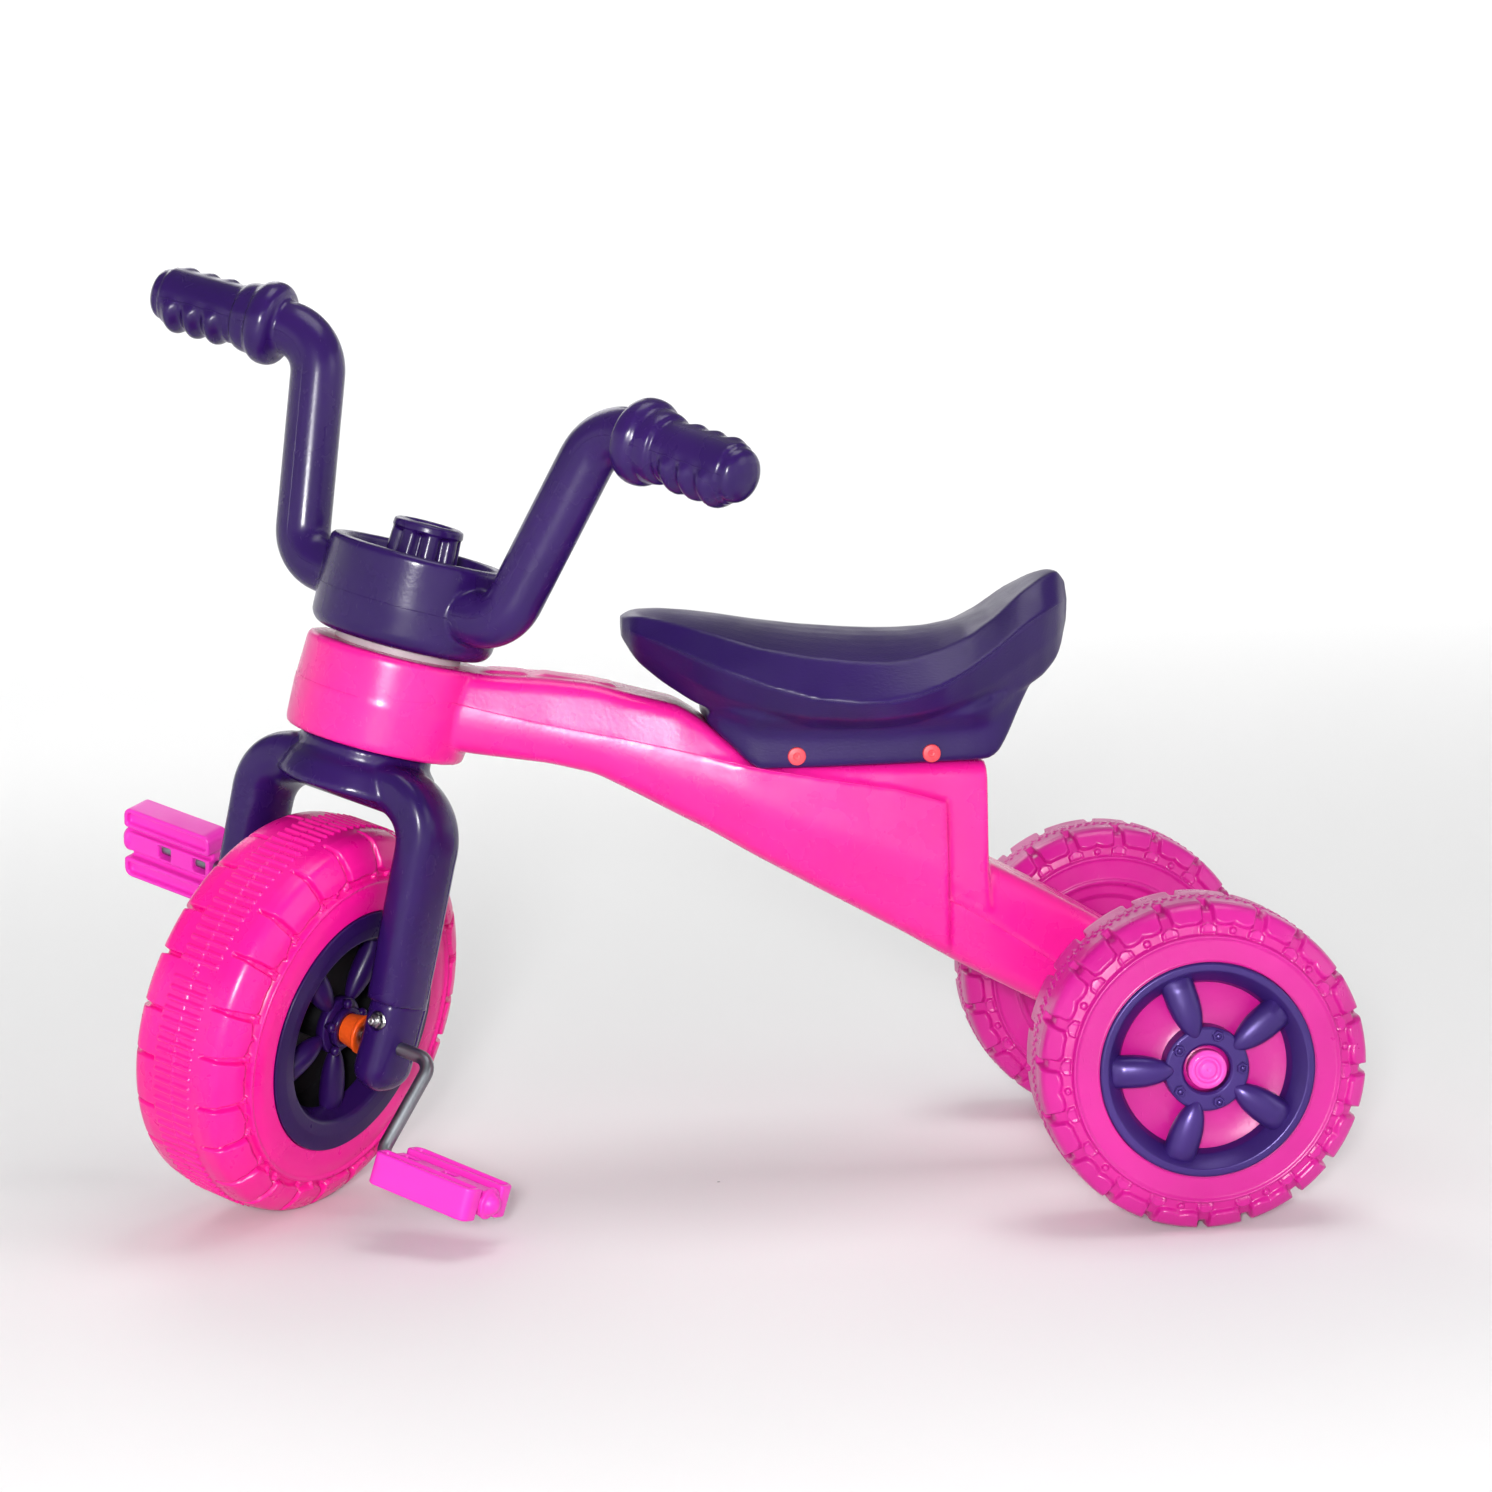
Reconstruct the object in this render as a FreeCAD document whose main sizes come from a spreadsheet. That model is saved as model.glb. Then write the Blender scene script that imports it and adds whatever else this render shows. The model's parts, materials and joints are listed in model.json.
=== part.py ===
"""Children's tricycle: blow-moulded frame and saddle, steered fork, pedal-driven front wheel.

Frame: +Z up, the front faces -Y, the rider's left is +X, millimetres.  The origin is on the
floor, under the middle of the whole tricycle.  The steering is modelled turned to the left.
"""
import FreeCAD, Part
import math
import operator
import os

import Sketcher
from FreeCAD import Placement, Rotation, Vector

os.makedirs("parts", exist_ok=True)
doc = FreeCAD.newDocument("Tricycle")

# ---------------------------------------------------------------- driving dimensions
SIZES = {
    # where the running gear stands
    "rear_axle_setback": 252.3,
    "wheelbase": 484.9,
    "half_track": 131.5,
    "steer_base_height": 113.43,
    "rake": 16.81,
    "steer_turn": 56.1,
    "wheel_lead": 2.6,
    "front_spoke_turn": 52.0,
    "rear_spoke_turn": 18.0,
    # front wheel
    "front_radius": 112.2,
    "front_half_width": 38.9,
    "front_ring_radius": 70.7,
    "front_bead_radius": 71.1,
    "front_seat_radius": 55.0,
    "front_ring_inner": 50.0,
    "front_hub_radius": 17.0,
    "hub_sleeve_radius": 12.0,
    "hub_sleeve_half": 22.0,
    "bush_radius": 8.5,
    "bush_flange_radius": 11.5,
    # rear wheels
    "rear_radius": 90.0,
    "rear_half_width": 31.9,
    "cover_radius": 58.5,
    "cover_inner": 47.0,
    "cover_hub_radius": 23.0,
    "cover_floor": 18.0,
    "rear_bush_radius": 7.0,
    "rear_bush_end": 24.0,
    "axle_cap_radius": 10.5,
    "wall": 2.8,
    # shafts
    "rod_radius": 4.0,
    "running_clearance": 0.06,
    "body_gap": 0.3,
    # crank and pedals
    "crank_turn": -28.8,
    "crank_arm": 61.5,
    "crank_arm_side": 92.0,
    "crank_bend": 9.0,
    "pedal_inner": 101.5,
    "pedal_length": 65.5,
    "pedal_half_depth": 22.5,
    "pedal_half_height": 9.1,
    "pedal_slab": 12.0,
    "pedal_waist": 7.5,
    "pedal_nub": 6.0,
    "pedal_left_turn": 27.3,
    "pedal_right_turn": 39.2,
    # fork
    "fork_side": 58.0,
    "leg_width": 25.0,
    "fork_depth": 44.0,
    "fork_edge": 10.0,
    "fork_tilt": 6.5,
    "leg_foot": 24.5,
    "arch_height": 126.0,
    "arch_bend": 26.0,
    "crown_height": 155.0,
    "shoulder_bend": 40.0,
    "neck_top": 158.6,
    "neck_disc_radius": 40.0,
    "journal_radius": 17.0,
    "fork_end_bottom": -28.5,
    "fork_end_inset": 1.2,
    "fork_end_back": 3.0,
    "tongue_half_width": 7.5,
    "tongue_half_depth": 12.0,
    "tongue_foot": 7.3,
    "clamp_bolt_height": 13.3,
    "clamp_bolt_radius": 2.0,
    # head
    "head_radius": 52.0,
    "head_bottom": 159.0,
    "head_top": 213.0,
    "head_bush_radius": 22.0,
    "stem_radius": 5.0,
    "stem_top": 281.0,
    "stem_head_radius": 9.0,
    "stem_head_height": 5.0,
    "key_half": 10.5,
    "key_height": 20.0,
    # handlebar
    "drum_bottom": 217.2,
    "drum_top": 270.0,
    "drum_radius": 52.0,
    "drum_well_radius": 42.0,
    "drum_well_floor": 257.0,
    "bar_radius": 16.0,
    "bar_low_side": 71.0,
    "bar_low_height": 247.0,
    "bar_high_side": 98.0,
    "bar_high_height": 368.0,
    "bar_forward": 13.0,
    "bar_tilt": 1.8,
    "grip_side": 200.9,
    "grip_forward": 33.4,
    "grip_height": 365.6,
    "grip_radius": 16.5,
    "collar_radius": 24.0,
    "knob_radius": 21.5,
    "knob_top": 287.0,
    # frame
    "axle_tube_radius": 25.0,
    "axle_tube_half": 92.0,
    "boss_half_width": 38.0,
    "boss_top": 268.0,
    "deck_height": 245.5,
    # seat
    "skirt_half_width": 46.5,
    "plug_radius": 5.2,
    "plug_height": 252.2,
    "plug_front": -203.8,
    "plug_rear": -128.0,
}
# cross-sections along the chassis; place is along Y from the rear axle, the rest are heights
# and half widths
SECTION_TABLES = {
    "beam": (
        ("place", "top", "seam", "bottom", "half_top", "half_seam", "half_bottom"),
        (-425.0, 310.0, 292.0, 268.0, 29.0, 34.0, 30.0),
        (-374.0, 304.0, 284.0, 257.5, 29.0, 34.0, 30.0),
        (-335.0, 300.0, 273.5, 251.0, 28.0, 34.5, 29.0),
        (-290.0, 289.0, 263.0, 231.0, 30.0, 37.0, 29.0),
        (-254.0, 273.0, 254.0, 211.0, 34.0, 40.0, 30.0),
        (-232.0, 245.5, 229.0, 198.0, 38.0, 42.0, 31.0),
        (-150.0, 245.5, 232.0, 150.0, 40.0, 43.0, 31.0),
        (-93.0, 243.0, 222.0, 116.0, 39.0, 42.0, 30.0),
    ),
    "tail": (
        ("place", "top", "seam", "bottom", "half_top", "half_seam", "half_bottom"),
        (-130.0, 204.0, 172.0, 137.0, 34.0, 37.0, 31.0),
        (-92.0, 183.5, 150.0, 115.5, 30.0, 35.0, 29.0),
        (-40.0, 154.5, 120.0, 86.0, 28.0, 33.0, 28.0),
        (0.0, 128.0, 98.0, 66.0, 24.0, 30.0, 25.0),
    ),
    "seat": (
        ("place", "under", "half_under", "seam", "half_seam", "crease", "half_crease", "crown"),
        (-294.0, 309.0, 9.0, 322.0, 16.0, 329.0, 11.0, 331.0),
        (-284.0, 299.0, 18.0, 318.0, 33.0, 331.0, 24.0, 335.0),
        (-262.0, 283.0, 28.0, 309.0, 51.0, 325.0, 41.0, 333.0),
        (-225.0, 272.0, 46.0, 295.0, 68.0, 315.0, 56.0, 328.0),
        (-170.0, 268.0, 52.0, 285.0, 78.0, 306.0, 64.0, 321.0),
        (-130.0, 269.0, 52.0, 291.0, 74.0, 308.0, 56.0, 318.0),
        (-100.0, 273.0, 48.0, 306.0, 62.0, 320.0, 40.0, 322.0),
        (-72.0, 282.0, 38.0, 322.0, 46.0, 338.0, 26.0, 339.0),
        (-50.0, 298.0, 20.0, 330.0, 26.0, 346.0, 12.0, 348.5),
    ),
}
OPERATORS = {"+": operator.add, "-": operator.sub, "*": operator.mul, "/": operator.truediv}


class Size:
    """A number that follows the sheet: its value now, and the expression that gives it."""

    def __init__(self, value, text):
        self.value = value
        self.text = text

    def __add__(self, other):
        return combined(self, "+", other)

    def __radd__(self, other):
        return combined(other, "+", self)

    def __sub__(self, other):
        return combined(self, "-", other)

    def __rsub__(self, other):
        return combined(other, "-", self)

    def __mul__(self, other):
        return combined(self, "*", other)

    def __truediv__(self, other):
        return combined(self, "/", other)

    def __neg__(self):
        return combined(0.0, "-", self)

    def __float__(self):
        return float(self.value)


def as_size(number):
    return number if isinstance(number, Size) else Size(float(number), str(number))


def combined(left, sign, right):
    a, b = as_size(left), as_size(right)
    return Size(OPERATORS[sign](a.value, b.value), f"({a.text} {sign} {b.text})")


def fill_sheet():
    for table, (words, *rows) in SECTION_TABLES.items():
        for number, row in enumerate(rows, start=1):
            SIZES.update({section_alias(table, number, w): value for w, value in zip(words, row)})
    sheet = doc.addObject("Spreadsheet::Sheet", "Sizes")
    for row, (alias, value) in enumerate(SIZES.items(), start=1):
        sheet.set(f"A{row}", alias)
        sheet.set(f"B{row}", str(value))
        sheet.setAlias(f"B{row}", alias)
    doc.recompute()


def size(alias):
    return Size(SIZES[alias], f"Sizes.{alias}")


def section_alias(table, number, word):
    return f"{table}_{number}_{word}"


def sections_of(table):
    """The rows of one section table, as sheet sizes."""
    words, *rows = SECTION_TABLES[table]
    return [[size(section_alias(table, n, word)) for word in words] for n in range(1, len(rows) + 1)]


# ---------------------------------------------------------------- sketch and feature helpers
SUBPARTS = []


def new_body(label, placement, whole=True):
    """A body; it is a sub-part of its own unless it only goes into a fuse."""
    body = doc.addObject("PartDesign::Body", label)
    body.Label = label
    body.Placement = placement
    if whole:
        SUBPARTS.append(body)
    return body


def origin_feature(body, role):
    return next(feature for feature in body.Origin.OriginFeatures if feature.Role == role)


def sketch_on(body, plane, shift=0.0, offset=None):
    """A sketch on one of the body's own origin planes, moved along that plane's normal."""
    sketch = body.newObject("Sketcher::SketchObject", f"{body.Label}_sketch")
    sketch.AttachmentSupport = (origin_feature(body, plane), [""])
    sketch.MapMode = "FlatFace"
    if offset:
        sketch.AttachmentOffset = offset
    if shift is not None:
        sketch.setExpression("AttachmentOffset.Base.z", as_size(shift).text)
    return sketch


def arc_between(start, end, radius):
    """The short arc from start to end, turning left for a positive radius."""
    chord = end - start
    side = Vector(-chord.y, chord.x, 0).normalize()
    reach = math.sqrt(max(radius * radius - chord.Length**2 / 4, 0.0))
    centre = start + chord * 0.5 + side * math.copysign(reach, radius)
    circle = Part.Circle(centre, Vector(0, 0, 1), abs(radius))
    ends = [math.atan2(p.y - centre.y, p.x - centre.x) for p in (start, end)]
    if radius < 0:
        ends.reverse()
    return Part.ArcOfCircle(circle, ends[0], ends[1] if ends[1] > ends[0] else ends[1] + 2 * math.pi)


def bind(sketch, kind, *place, number):
    """Add one dimension and tie it to the sheet."""
    number = as_size(number)
    index = sketch.addConstraint(Sketcher.Constraint(kind, *place, number.value))
    sketch.setExpression(f"Constraints[{index}]", number.text)


def outline(sketch, corners, closed=True):
    """Lines and arcs through corners (x, y) or (x, y, radius of the arc to the next corner)."""
    edges = []
    last = len(corners) if closed else len(corners) - 1
    for index in range(last):
        here, there = corners[index], corners[(index + 1) % len(corners)]
        start = Vector(float(here[0]), float(here[1]), 0)
        end = Vector(float(there[0]), float(there[1]), 0)
        radius = here[2] if len(here) > 2 else None
        first, second = 1, 2
        if radius is None:
            edge = sketch.addGeometry(Part.LineSegment(start, end))
        else:
            edge = sketch.addGeometry(arc_between(start, end, float(radius)))
            if float(radius) < 0:
                first, second = 2, 1
            bind(sketch, "Radius", edge, number=radius if float(radius) > 0 else -radius)
        bind(sketch, "DistanceX", -1, 1, edge, first, number=here[0])
        bind(sketch, "DistanceY", -1, 1, edge, first, number=here[1])
        if edges:
            sketch.addConstraint(Sketcher.Constraint("Coincident", *edges[-1][1], edge, first))
        edges.append(((edge, first), (edge, second)))
    if closed:
        sketch.addConstraint(Sketcher.Constraint("Coincident", *edges[-1][1], *edges[0][0]))
    else:
        bind(sketch, "DistanceX", -1, 1, *edges[-1][1], number=corners[-1][0])
        bind(sketch, "DistanceY", -1, 1, *edges[-1][1], number=corners[-1][1])
    return [edge for (edge, _), _ in edges]


def circle(sketch, x, y, radius):
    centre = Vector(float(x), float(y), 0)
    edge = sketch.addGeometry(Part.Circle(centre, Vector(0, 0, 1), float(radius)))
    bind(sketch, "Radius", edge, number=radius)
    bind(sketch, "DistanceX", -1, 1, edge, 3, number=x)
    bind(sketch, "DistanceY", -1, 1, edge, 3, number=y)


def rectangle(sketch, low_x, low_y, high_x, high_y):
    outline(sketch, [(low_x, low_y), (high_x, low_y), (high_x, high_y), (low_x, high_y)])


def turned(body, corners, axis="H_Axis", plane="XY_Plane"):
    """A solid of revolution; by default its profile is (place along X, radius)."""
    sketch = sketch_on(body, plane)
    outline(sketch, corners)
    feature = body.newObject("PartDesign::Revolution", f"{body.Label}_turned")
    feature.Profile = sketch
    feature.ReferenceAxis = (sketch, [axis])
    return feature


def extruded(body, sketch, length, kind="Pad", symmetric=False, reverse=False):
    feature = body.newObject(f"PartDesign::{kind}", f"{body.Label}_{kind.lower()}")
    feature.Profile = sketch
    feature.setExpression("Length", as_size(length).text)
    feature.SideType = "Symmetric" if symmetric else "One side"
    feature.Reversed = reverse
    return feature


def both_sides(right):
    """Close a profile by mirroring its right half, which runs from bore to rim."""
    left = []
    for index in range(len(right) - 1, -1, -1):
        arc = right[index - 1][2:] if index > 0 else ()
        left.append((-right[index][0], right[index][1], *arc))
    return right + left


def hollowed(body, corners):
    """Cut a closed ring-shaped space inside a turned body."""
    sketch = sketch_on(body, "XY_Plane")
    outline(sketch, corners)
    feature = body.newObject("PartDesign::Groove", f"{body.Label}_hollow")
    feature.Profile = sketch
    feature.ReferenceAxis = (sketch, ["H_Axis"])


def ring_of(body, feature, count, axis="X_Axis"):
    pattern = body.newObject("PartDesign::PolarPattern", f"{body.Label}_ring")
    pattern.Originals = [feature]
    pattern.Axis = (origin_feature(body, axis), [""])
    pattern.Occurrences = count
    body.Tip = pattern


def lofted(body, sketches):
    feature = body.newObject("PartDesign::AdditiveLoft", f"{body.Label}_loft")
    feature.Profile = sketches[0]
    feature.Sections = sketches[1:]
    feature.Ruled = True


def rounded_edges(body, radius, chosen):
    """Round the edges of the tip that the chosen test accepts."""
    doc.recompute()
    base = body.Tip
    names = [f"Edge{i + 1}" for i, edge in enumerate(base.Shape.Edges) if chosen(edge)]
    feature = body.newObject("PartDesign::Fillet", f"{body.Label}_rounding")
    feature.Base = (base, names)
    feature.setExpression("Radius", as_size(radius).text)


# ---------------------------------------------------------------- where the groups stand
X_AXIS, Y_AXIS, Z_AXIS = Vector(1, 0, 0), Vector(0, 1, 0), Vector(0, 0, 1)


def moved(x=0.0, y=0.0, z=0.0):
    return Placement(Vector(float(x), float(y), float(z)), Rotation())


def spun(axis, degrees):
    return Placement(Vector(), Rotation(axis, degrees))


fill_sheet()
rear_radius = size("rear_radius")
half_track = size("half_track")
rod = size("rod_radius")
running = size("running_clearance")
gap = size("body_gap")
bush_bore = size("bush_radius") + 0.02
key, key_height = size("key_half"), size("key_height")
# chassis: rear axle above its origin; steering: +Z along the steering axis, -Y is forwards
chassis = moved(y=size("rear_axle_setback"))
steering = (
    chassis
    * moved(y=-size("wheelbase"), z=size("steer_base_height"))
    * spun(X_AXIS, -SIZES["rake"])
    * spun(Z_AXIS, SIZES["steer_turn"])
)
front_wheel = steering * moved(y=-size("wheel_lead"))
crank_frame = front_wheel * spun(X_AXIS, SIZES["crank_turn"])
rear_turn = spun(X_AXIS, SIZES["rear_spoke_turn"])
rear_wheels = {
    "left": chassis * moved(x=half_track, z=rear_radius) * rear_turn,
    "right": chassis * moved(x=-half_track, z=rear_radius) * spun(Z_AXIS, 180) * rear_turn,
}
steering_sides = {"left": steering, "right": steering * spun(Z_AXIS, 180)}
wheel_sides = {"left": front_wheel, "right": front_wheel * spun(Z_AXIS, 180)}


# ---------------------------------------------------------------- front wheel
def build_front_tyre():
    """A hollow moulding: flat crown, round shoulders, a recess each side for the ring."""
    body = new_body("front_tyre", front_wheel)
    radius, half = size("front_radius"), size("front_half_width")
    bead, seat, wall = size("front_bead_radius"), size("front_seat_radius"), size("wall")
    step = half - 4.0
    right = [
        (step, seat), (step, bead), (half, bead), (half, radius - 32.0),
        (half - 4.2, radius - 13.5, 13.0), (half - 13.5, radius - 1.2), (half - 20.0, radius),
    ]
    turned(body, both_sides(right))
    hollowed(body, both_sides([
        (step - wall, seat + wall), (step - wall, bead + wall), (half - wall, bead + wall),
        (half - wall, radius - 33.0), (half - 7.2, radius - 15.0), (half - 16.0, radius - 4.5),
    ]))


def build_front_hub_core():
    """The dark inner hub: a sleeve on the crank, a web, and a rim inside the tyre."""
    body = new_body("front_hub_core", front_wheel)
    sleeve, half = size("hub_sleeve_radius"), size("hub_sleeve_half")
    seat, bore = size("front_seat_radius"), rod + 0.02
    rim, web, rim_half = seat - 3.0, 2.5, 24.0
    turned(body, [
        (-half, bore), (half, bore), (half, sleeve), (web, sleeve), (web, rim), (rim_half, rim),
        (rim_half, seat), (-rim_half, seat), (-rim_half, rim), (-web, rim), (-web, sleeve),
        (-half, sleeve),
    ])


def build_front_ring(side):
    """The dished outer ring with its hub disc and five spokes; +X is outboard."""
    body = new_body(f"front_ring_{side}", wheel_sides[side] * spun(X_AXIS, SIZES["front_spoke_turn"]))
    face, seat = size("front_half_width"), size("front_seat_radius")
    ring, inner, hub = size("front_ring_radius"), size("front_ring_inner"), size("front_hub_radius")
    back, floor = face - 3.7, face - 14.7
    turned(body, [
        (back, seat - 0.3), (back, ring), (face - 0.3, ring), (face - 0.3, inner + 4.0),
        (floor + 3.0, inner), (floor, inner), (floor, seat - 0.3),
    ])
    turned(body, [(floor, bush_bore), (floor, hub), (floor + 4.0, hub), (floor + 4.0, bush_bore)])
    spoke = sketch_on(body, "YZ_Plane", floor)
    half = 4.5
    outline(spoke, [
        (-half, hub - 1.5), (half, hub - 1.5), (half + 2.5, inner + 0.8), (-half - 2.5, inner + 0.8),
    ])
    ring_of(body, extruded(body, spoke, 4.0), 5)


def build_front_bush(side):
    """A flanged bush keyed on the crank, between the hub and the fork end; +X is outboard."""
    body = new_body(f"front_bush_{side}", wheel_sides[side])
    inner_end = size("hub_sleeve_half") + 0.1
    flange_face = size("fork_side") - size("leg_width") / 2 - gap - 0.3
    barrel, flange = size("bush_radius"), size("bush_flange_radius")
    turned(body, [
        (inner_end, rod + 0.02), (flange_face, rod + 0.02), (flange_face, flange),
        (flange_face - 1.6, flange), (flange_face - 2.6, flange - 1.0), (inner_end + 11.0, barrel),
        (inner_end, barrel),
    ])


def build_crank():
    """One bent steel rod: axle, two opposite arms and the two pedal pins."""
    body = new_body("crank", crank_frame)
    side, arm, bend = size("crank_arm_side"), size("crank_arm"), size("crank_bend")
    tip = size("pedal_inner") + size("pedal_length") - 5.0
    path = sketch_on(body, "XZ_Plane")
    edges = outline(path, [
        (-tip, arm), (-side - bend, arm, -bend), (-side, arm - bend), (-side, bend, bend),
        (bend - side, 0.0), (side - bend, 0.0, -bend), (side, -bend), (side, bend - arm, bend),
        (side + bend, -arm), (tip, -arm),
    ], closed=False)
    profile = sketch_on(body, "YZ_Plane", -tip)
    circle(profile, 0.0, arm, rod)
    pipe = body.newObject("PartDesign::AdditivePipe", "crank_rod")
    pipe.Profile = profile
    pipe.Spine = (path, [f"Edge{edge + 1}" for edge in edges])


def build_pedal(side):
    """Two ribbed slabs on a barrel that turns on the crank pin; +X is outboard."""
    sign = -1 if side == "left" else 1
    facing = 0 if side == "left" else 180
    body = new_body(
        f"pedal_{side}",
        crank_frame
        * moved(z=size("crank_arm") * sign)
        * spun(Z_AXIS, facing)
        * spun(X_AXIS, SIZES[f"pedal_{side}_turn"]),
    )
    inner, length = size("pedal_inner"), size("pedal_length")
    depth, height, slab = size("pedal_half_depth"), size("pedal_half_height"), size("pedal_slab")
    waist, nub_radius = size("pedal_waist"), size("pedal_nub")
    profile = sketch_on(body, "YZ_Plane", inner)
    outline(profile, [
        (-depth, -height), (slab - depth, -height), (slab - depth, -waist), (depth - slab, -waist),
        (depth - slab, -height), (depth, -height), (depth, height), (depth - slab, height),
        (depth - slab, waist), (slab - depth, waist), (slab - depth, height), (-depth, height),
    ])
    extruded(body, profile, length)
    nub = sketch_on(body, "XY_Plane")
    tip = inner + length
    outline(nub, [
        (tip - 2.0, 0.0), (tip + nub_radius, 0.0, nub_radius), (tip, nub_radius),
        (tip - 2.0, nub_radius),
    ])
    dome = body.newObject("PartDesign::Revolution", f"{body.Label}_nub")
    dome.Profile = nub
    dome.ReferenceAxis = (nub, ["H_Axis"])
    bore = sketch_on(body, "XY_Plane")
    rod_end = tip - 5.0
    rectangle(bore, inner - 1.0, 0.0, rod_end + 1.0, rod + running)
    drilled = body.newObject("PartDesign::Groove", f"{body.Label}_bore")
    drilled.Profile = bore
    drilled.ReferenceAxis = (bore, ["H_Axis"])


# ---------------------------------------------------------------- fork and its fittings
def build_fork():
    """An inverted U with rounded edges, leaning forwards, under a round neck and journal."""
    body = new_body("fork", steering)
    out = size("fork_side") + size("leg_width") / 2
    inside = size("fork_side") - size("leg_width") / 2
    foot, arch, crown = size("leg_foot"), size("arch_height"), size("crown_height")
    outer_bend, inner_bend = size("shoulder_bend"), size("arch_bend")
    lean = Placement(Vector(), Rotation(X_AXIS, SIZES["fork_tilt"]))
    profile = sketch_on(body, "XZ_Plane", -size("fork_end_back"), lean)
    low = foot - 4.0
    outline(profile, [
        (inside, low), (out, low), (out, crown - outer_bend, outer_bend),
        (out - outer_bend, crown), (outer_bend - out, crown, outer_bend),
        (-out, crown - outer_bend), (-out, low), (-inside, low),
        (-inside, arch - inner_bend, -inner_bend), (inner_bend - inside, arch),
        (inside - inner_bend, arch, -inner_bend), (inside, arch - inner_bend),
    ])
    extruded(body, profile, size("fork_depth"), symmetric=True)

    def long_edge(edge):
        """Edges of the front and back faces above the feet."""
        box = edge.BoundBox
        return max(box.XLength, box.ZLength) > 20 and box.ZMax > SIZES["leg_foot"] + 8

    rounded_edges(body, size("fork_edge"), long_edge)
    level_feet = sketch_on(body, "XY_Plane", foot)
    rectangle(level_feet, -out - 5.0, -size("fork_depth"), out + 5.0, size("fork_depth"))
    extruded(body, level_feet, 10.0, "Pocket")
    neck_foot = crown - 18.0
    neck = sketch_on(body, "XY_Plane", neck_foot)
    circle(neck, 0.0, 0.0, size("neck_disc_radius"))
    extruded(body, neck, size("neck_top") - neck_foot)
    journal = sketch_on(body, "XY_Plane", crown)
    circle(journal, 0.0, 0.0, size("journal_radius"))
    extruded(body, journal, size("drum_bottom") - crown - gap)
    drive = sketch_on(body, "XY_Plane", crown)
    rectangle(drive, -key, -key, key, key)
    extruded(body, drive, size("drum_bottom") - crown + key_height)
    tongues = sketch_on(body, "XY_Plane", size("tongue_foot"))
    middle, back = size("fork_side"), size("fork_end_back")
    wide, deep = size("tongue_half_width"), size("tongue_half_depth")
    for sign in (-1.0, 1.0):
        rectangle(tongues, middle * sign - wide, back - deep, middle * sign + wide, back + deep)
    extruded(body, tongues, foot - size("tongue_foot") + 4.0)
    bolt_holes = sketch_on(body, "XZ_Plane")
    for sign in (-1.0, 1.0):
        circle(bolt_holes, middle * sign, size("clamp_bolt_height"), size("clamp_bolt_radius") + 0.1)
    extruded(body, bolt_holes, 80.0, "Pocket", symmetric=True)
    stem_bore = sketch_on(body, "XY_Plane", size("drum_bottom") + key_height + 1.0)
    circle(stem_bore, 0.0, 0.0, size("stem_radius") + 0.1)
    extruded(body, stem_bore, 140.0, "Pocket")
    head_recess = sketch_on(body, "XY_Plane", arch + size("stem_head_height") + 1.0)
    circle(head_recess, 0.0, 0.0, size("stem_head_radius") + 0.5)
    extruded(body, head_recess, 30.0, "Pocket")


def build_fork_end(side):
    """The shell that carries the crank, bolted on the foot of the leg; +X is outboard."""
    body = new_body(f"fork_end_{side}", steering_sides[side])
    to_back = size("fork_end_back") if side == "left" else -size("fork_end_back")
    half_width = size("leg_width") / 2 - 0.3
    half_depth = size("fork_depth") / 2 - size("fork_end_inset") - 2.0
    middle = size("fork_side")
    top, bottom = size("leg_foot") - 0.1, size("fork_end_bottom")
    corner = 10.0
    section = sketch_on(body, "XY_Plane", bottom)
    low_x, high_x = middle - half_width, middle + half_width
    low_y, high_y = to_back - half_depth, to_back + half_depth
    outline(section, [
        (low_x + corner, low_y), (high_x - corner, low_y, corner), (high_x, low_y + corner),
        (high_x, high_y - corner, corner), (high_x - corner, high_y),
        (low_x + corner, high_y, corner), (low_x, high_y - corner), (low_x, low_y + corner, corner),
    ])
    extruded(body, section, top - bottom)
    floor = SIZES["fork_end_bottom"]
    rounded_edges(body, 8.0, lambda edge: edge.BoundBox.ZMax < floor + 0.01)
    pocket = sketch_on(body, "XY_Plane", top + 1.0)
    wide, deep = size("tongue_half_width") + 0.1, size("tongue_half_depth") + 0.1
    rectangle(pocket, middle - wide, to_back - deep, middle + wide, to_back + deep)
    extruded(body, pocket, top + 1.2 - size("tongue_foot"), "Pocket")
    axle_hole = sketch_on(body, "YZ_Plane", middle)
    lead = size("wheel_lead") if side == "right" else -size("wheel_lead")
    circle(axle_hole, lead, 0.0, rod + running)
    extruded(body, axle_hole, 60.0, "Pocket", symmetric=True)
    bolt_hole = sketch_on(body, "XZ_Plane")
    circle(bolt_hole, middle, size("clamp_bolt_height"), size("clamp_bolt_radius") + 0.1)
    extruded(body, bolt_hole, 80.0, "Pocket", symmetric=True)


def build_fork_end_bolts():
    """One bolt through each fork end and tongue, head at the back."""
    body = new_body("fork_end_bolts", steering)
    height, radius = size("clamp_bolt_height"), size("clamp_bolt_radius")
    face = size("fork_depth") / 2 - size("fork_end_inset") - 2.0
    back = size("fork_end_back")
    shank = sketch_on(body, "XZ_Plane", -back - face)
    heads = sketch_on(body, "XZ_Plane", -back - face)
    for sign in (-1.0, 1.0):
        circle(shank, size("fork_side") * sign, height, radius)
        circle(heads, size("fork_side") * sign, height, radius + 2.0)
    extruded(body, shank, face * 2.0 + 6.0)
    extruded(body, heads, 2.5, reverse=True)
    body.AllowCompound = True


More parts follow.
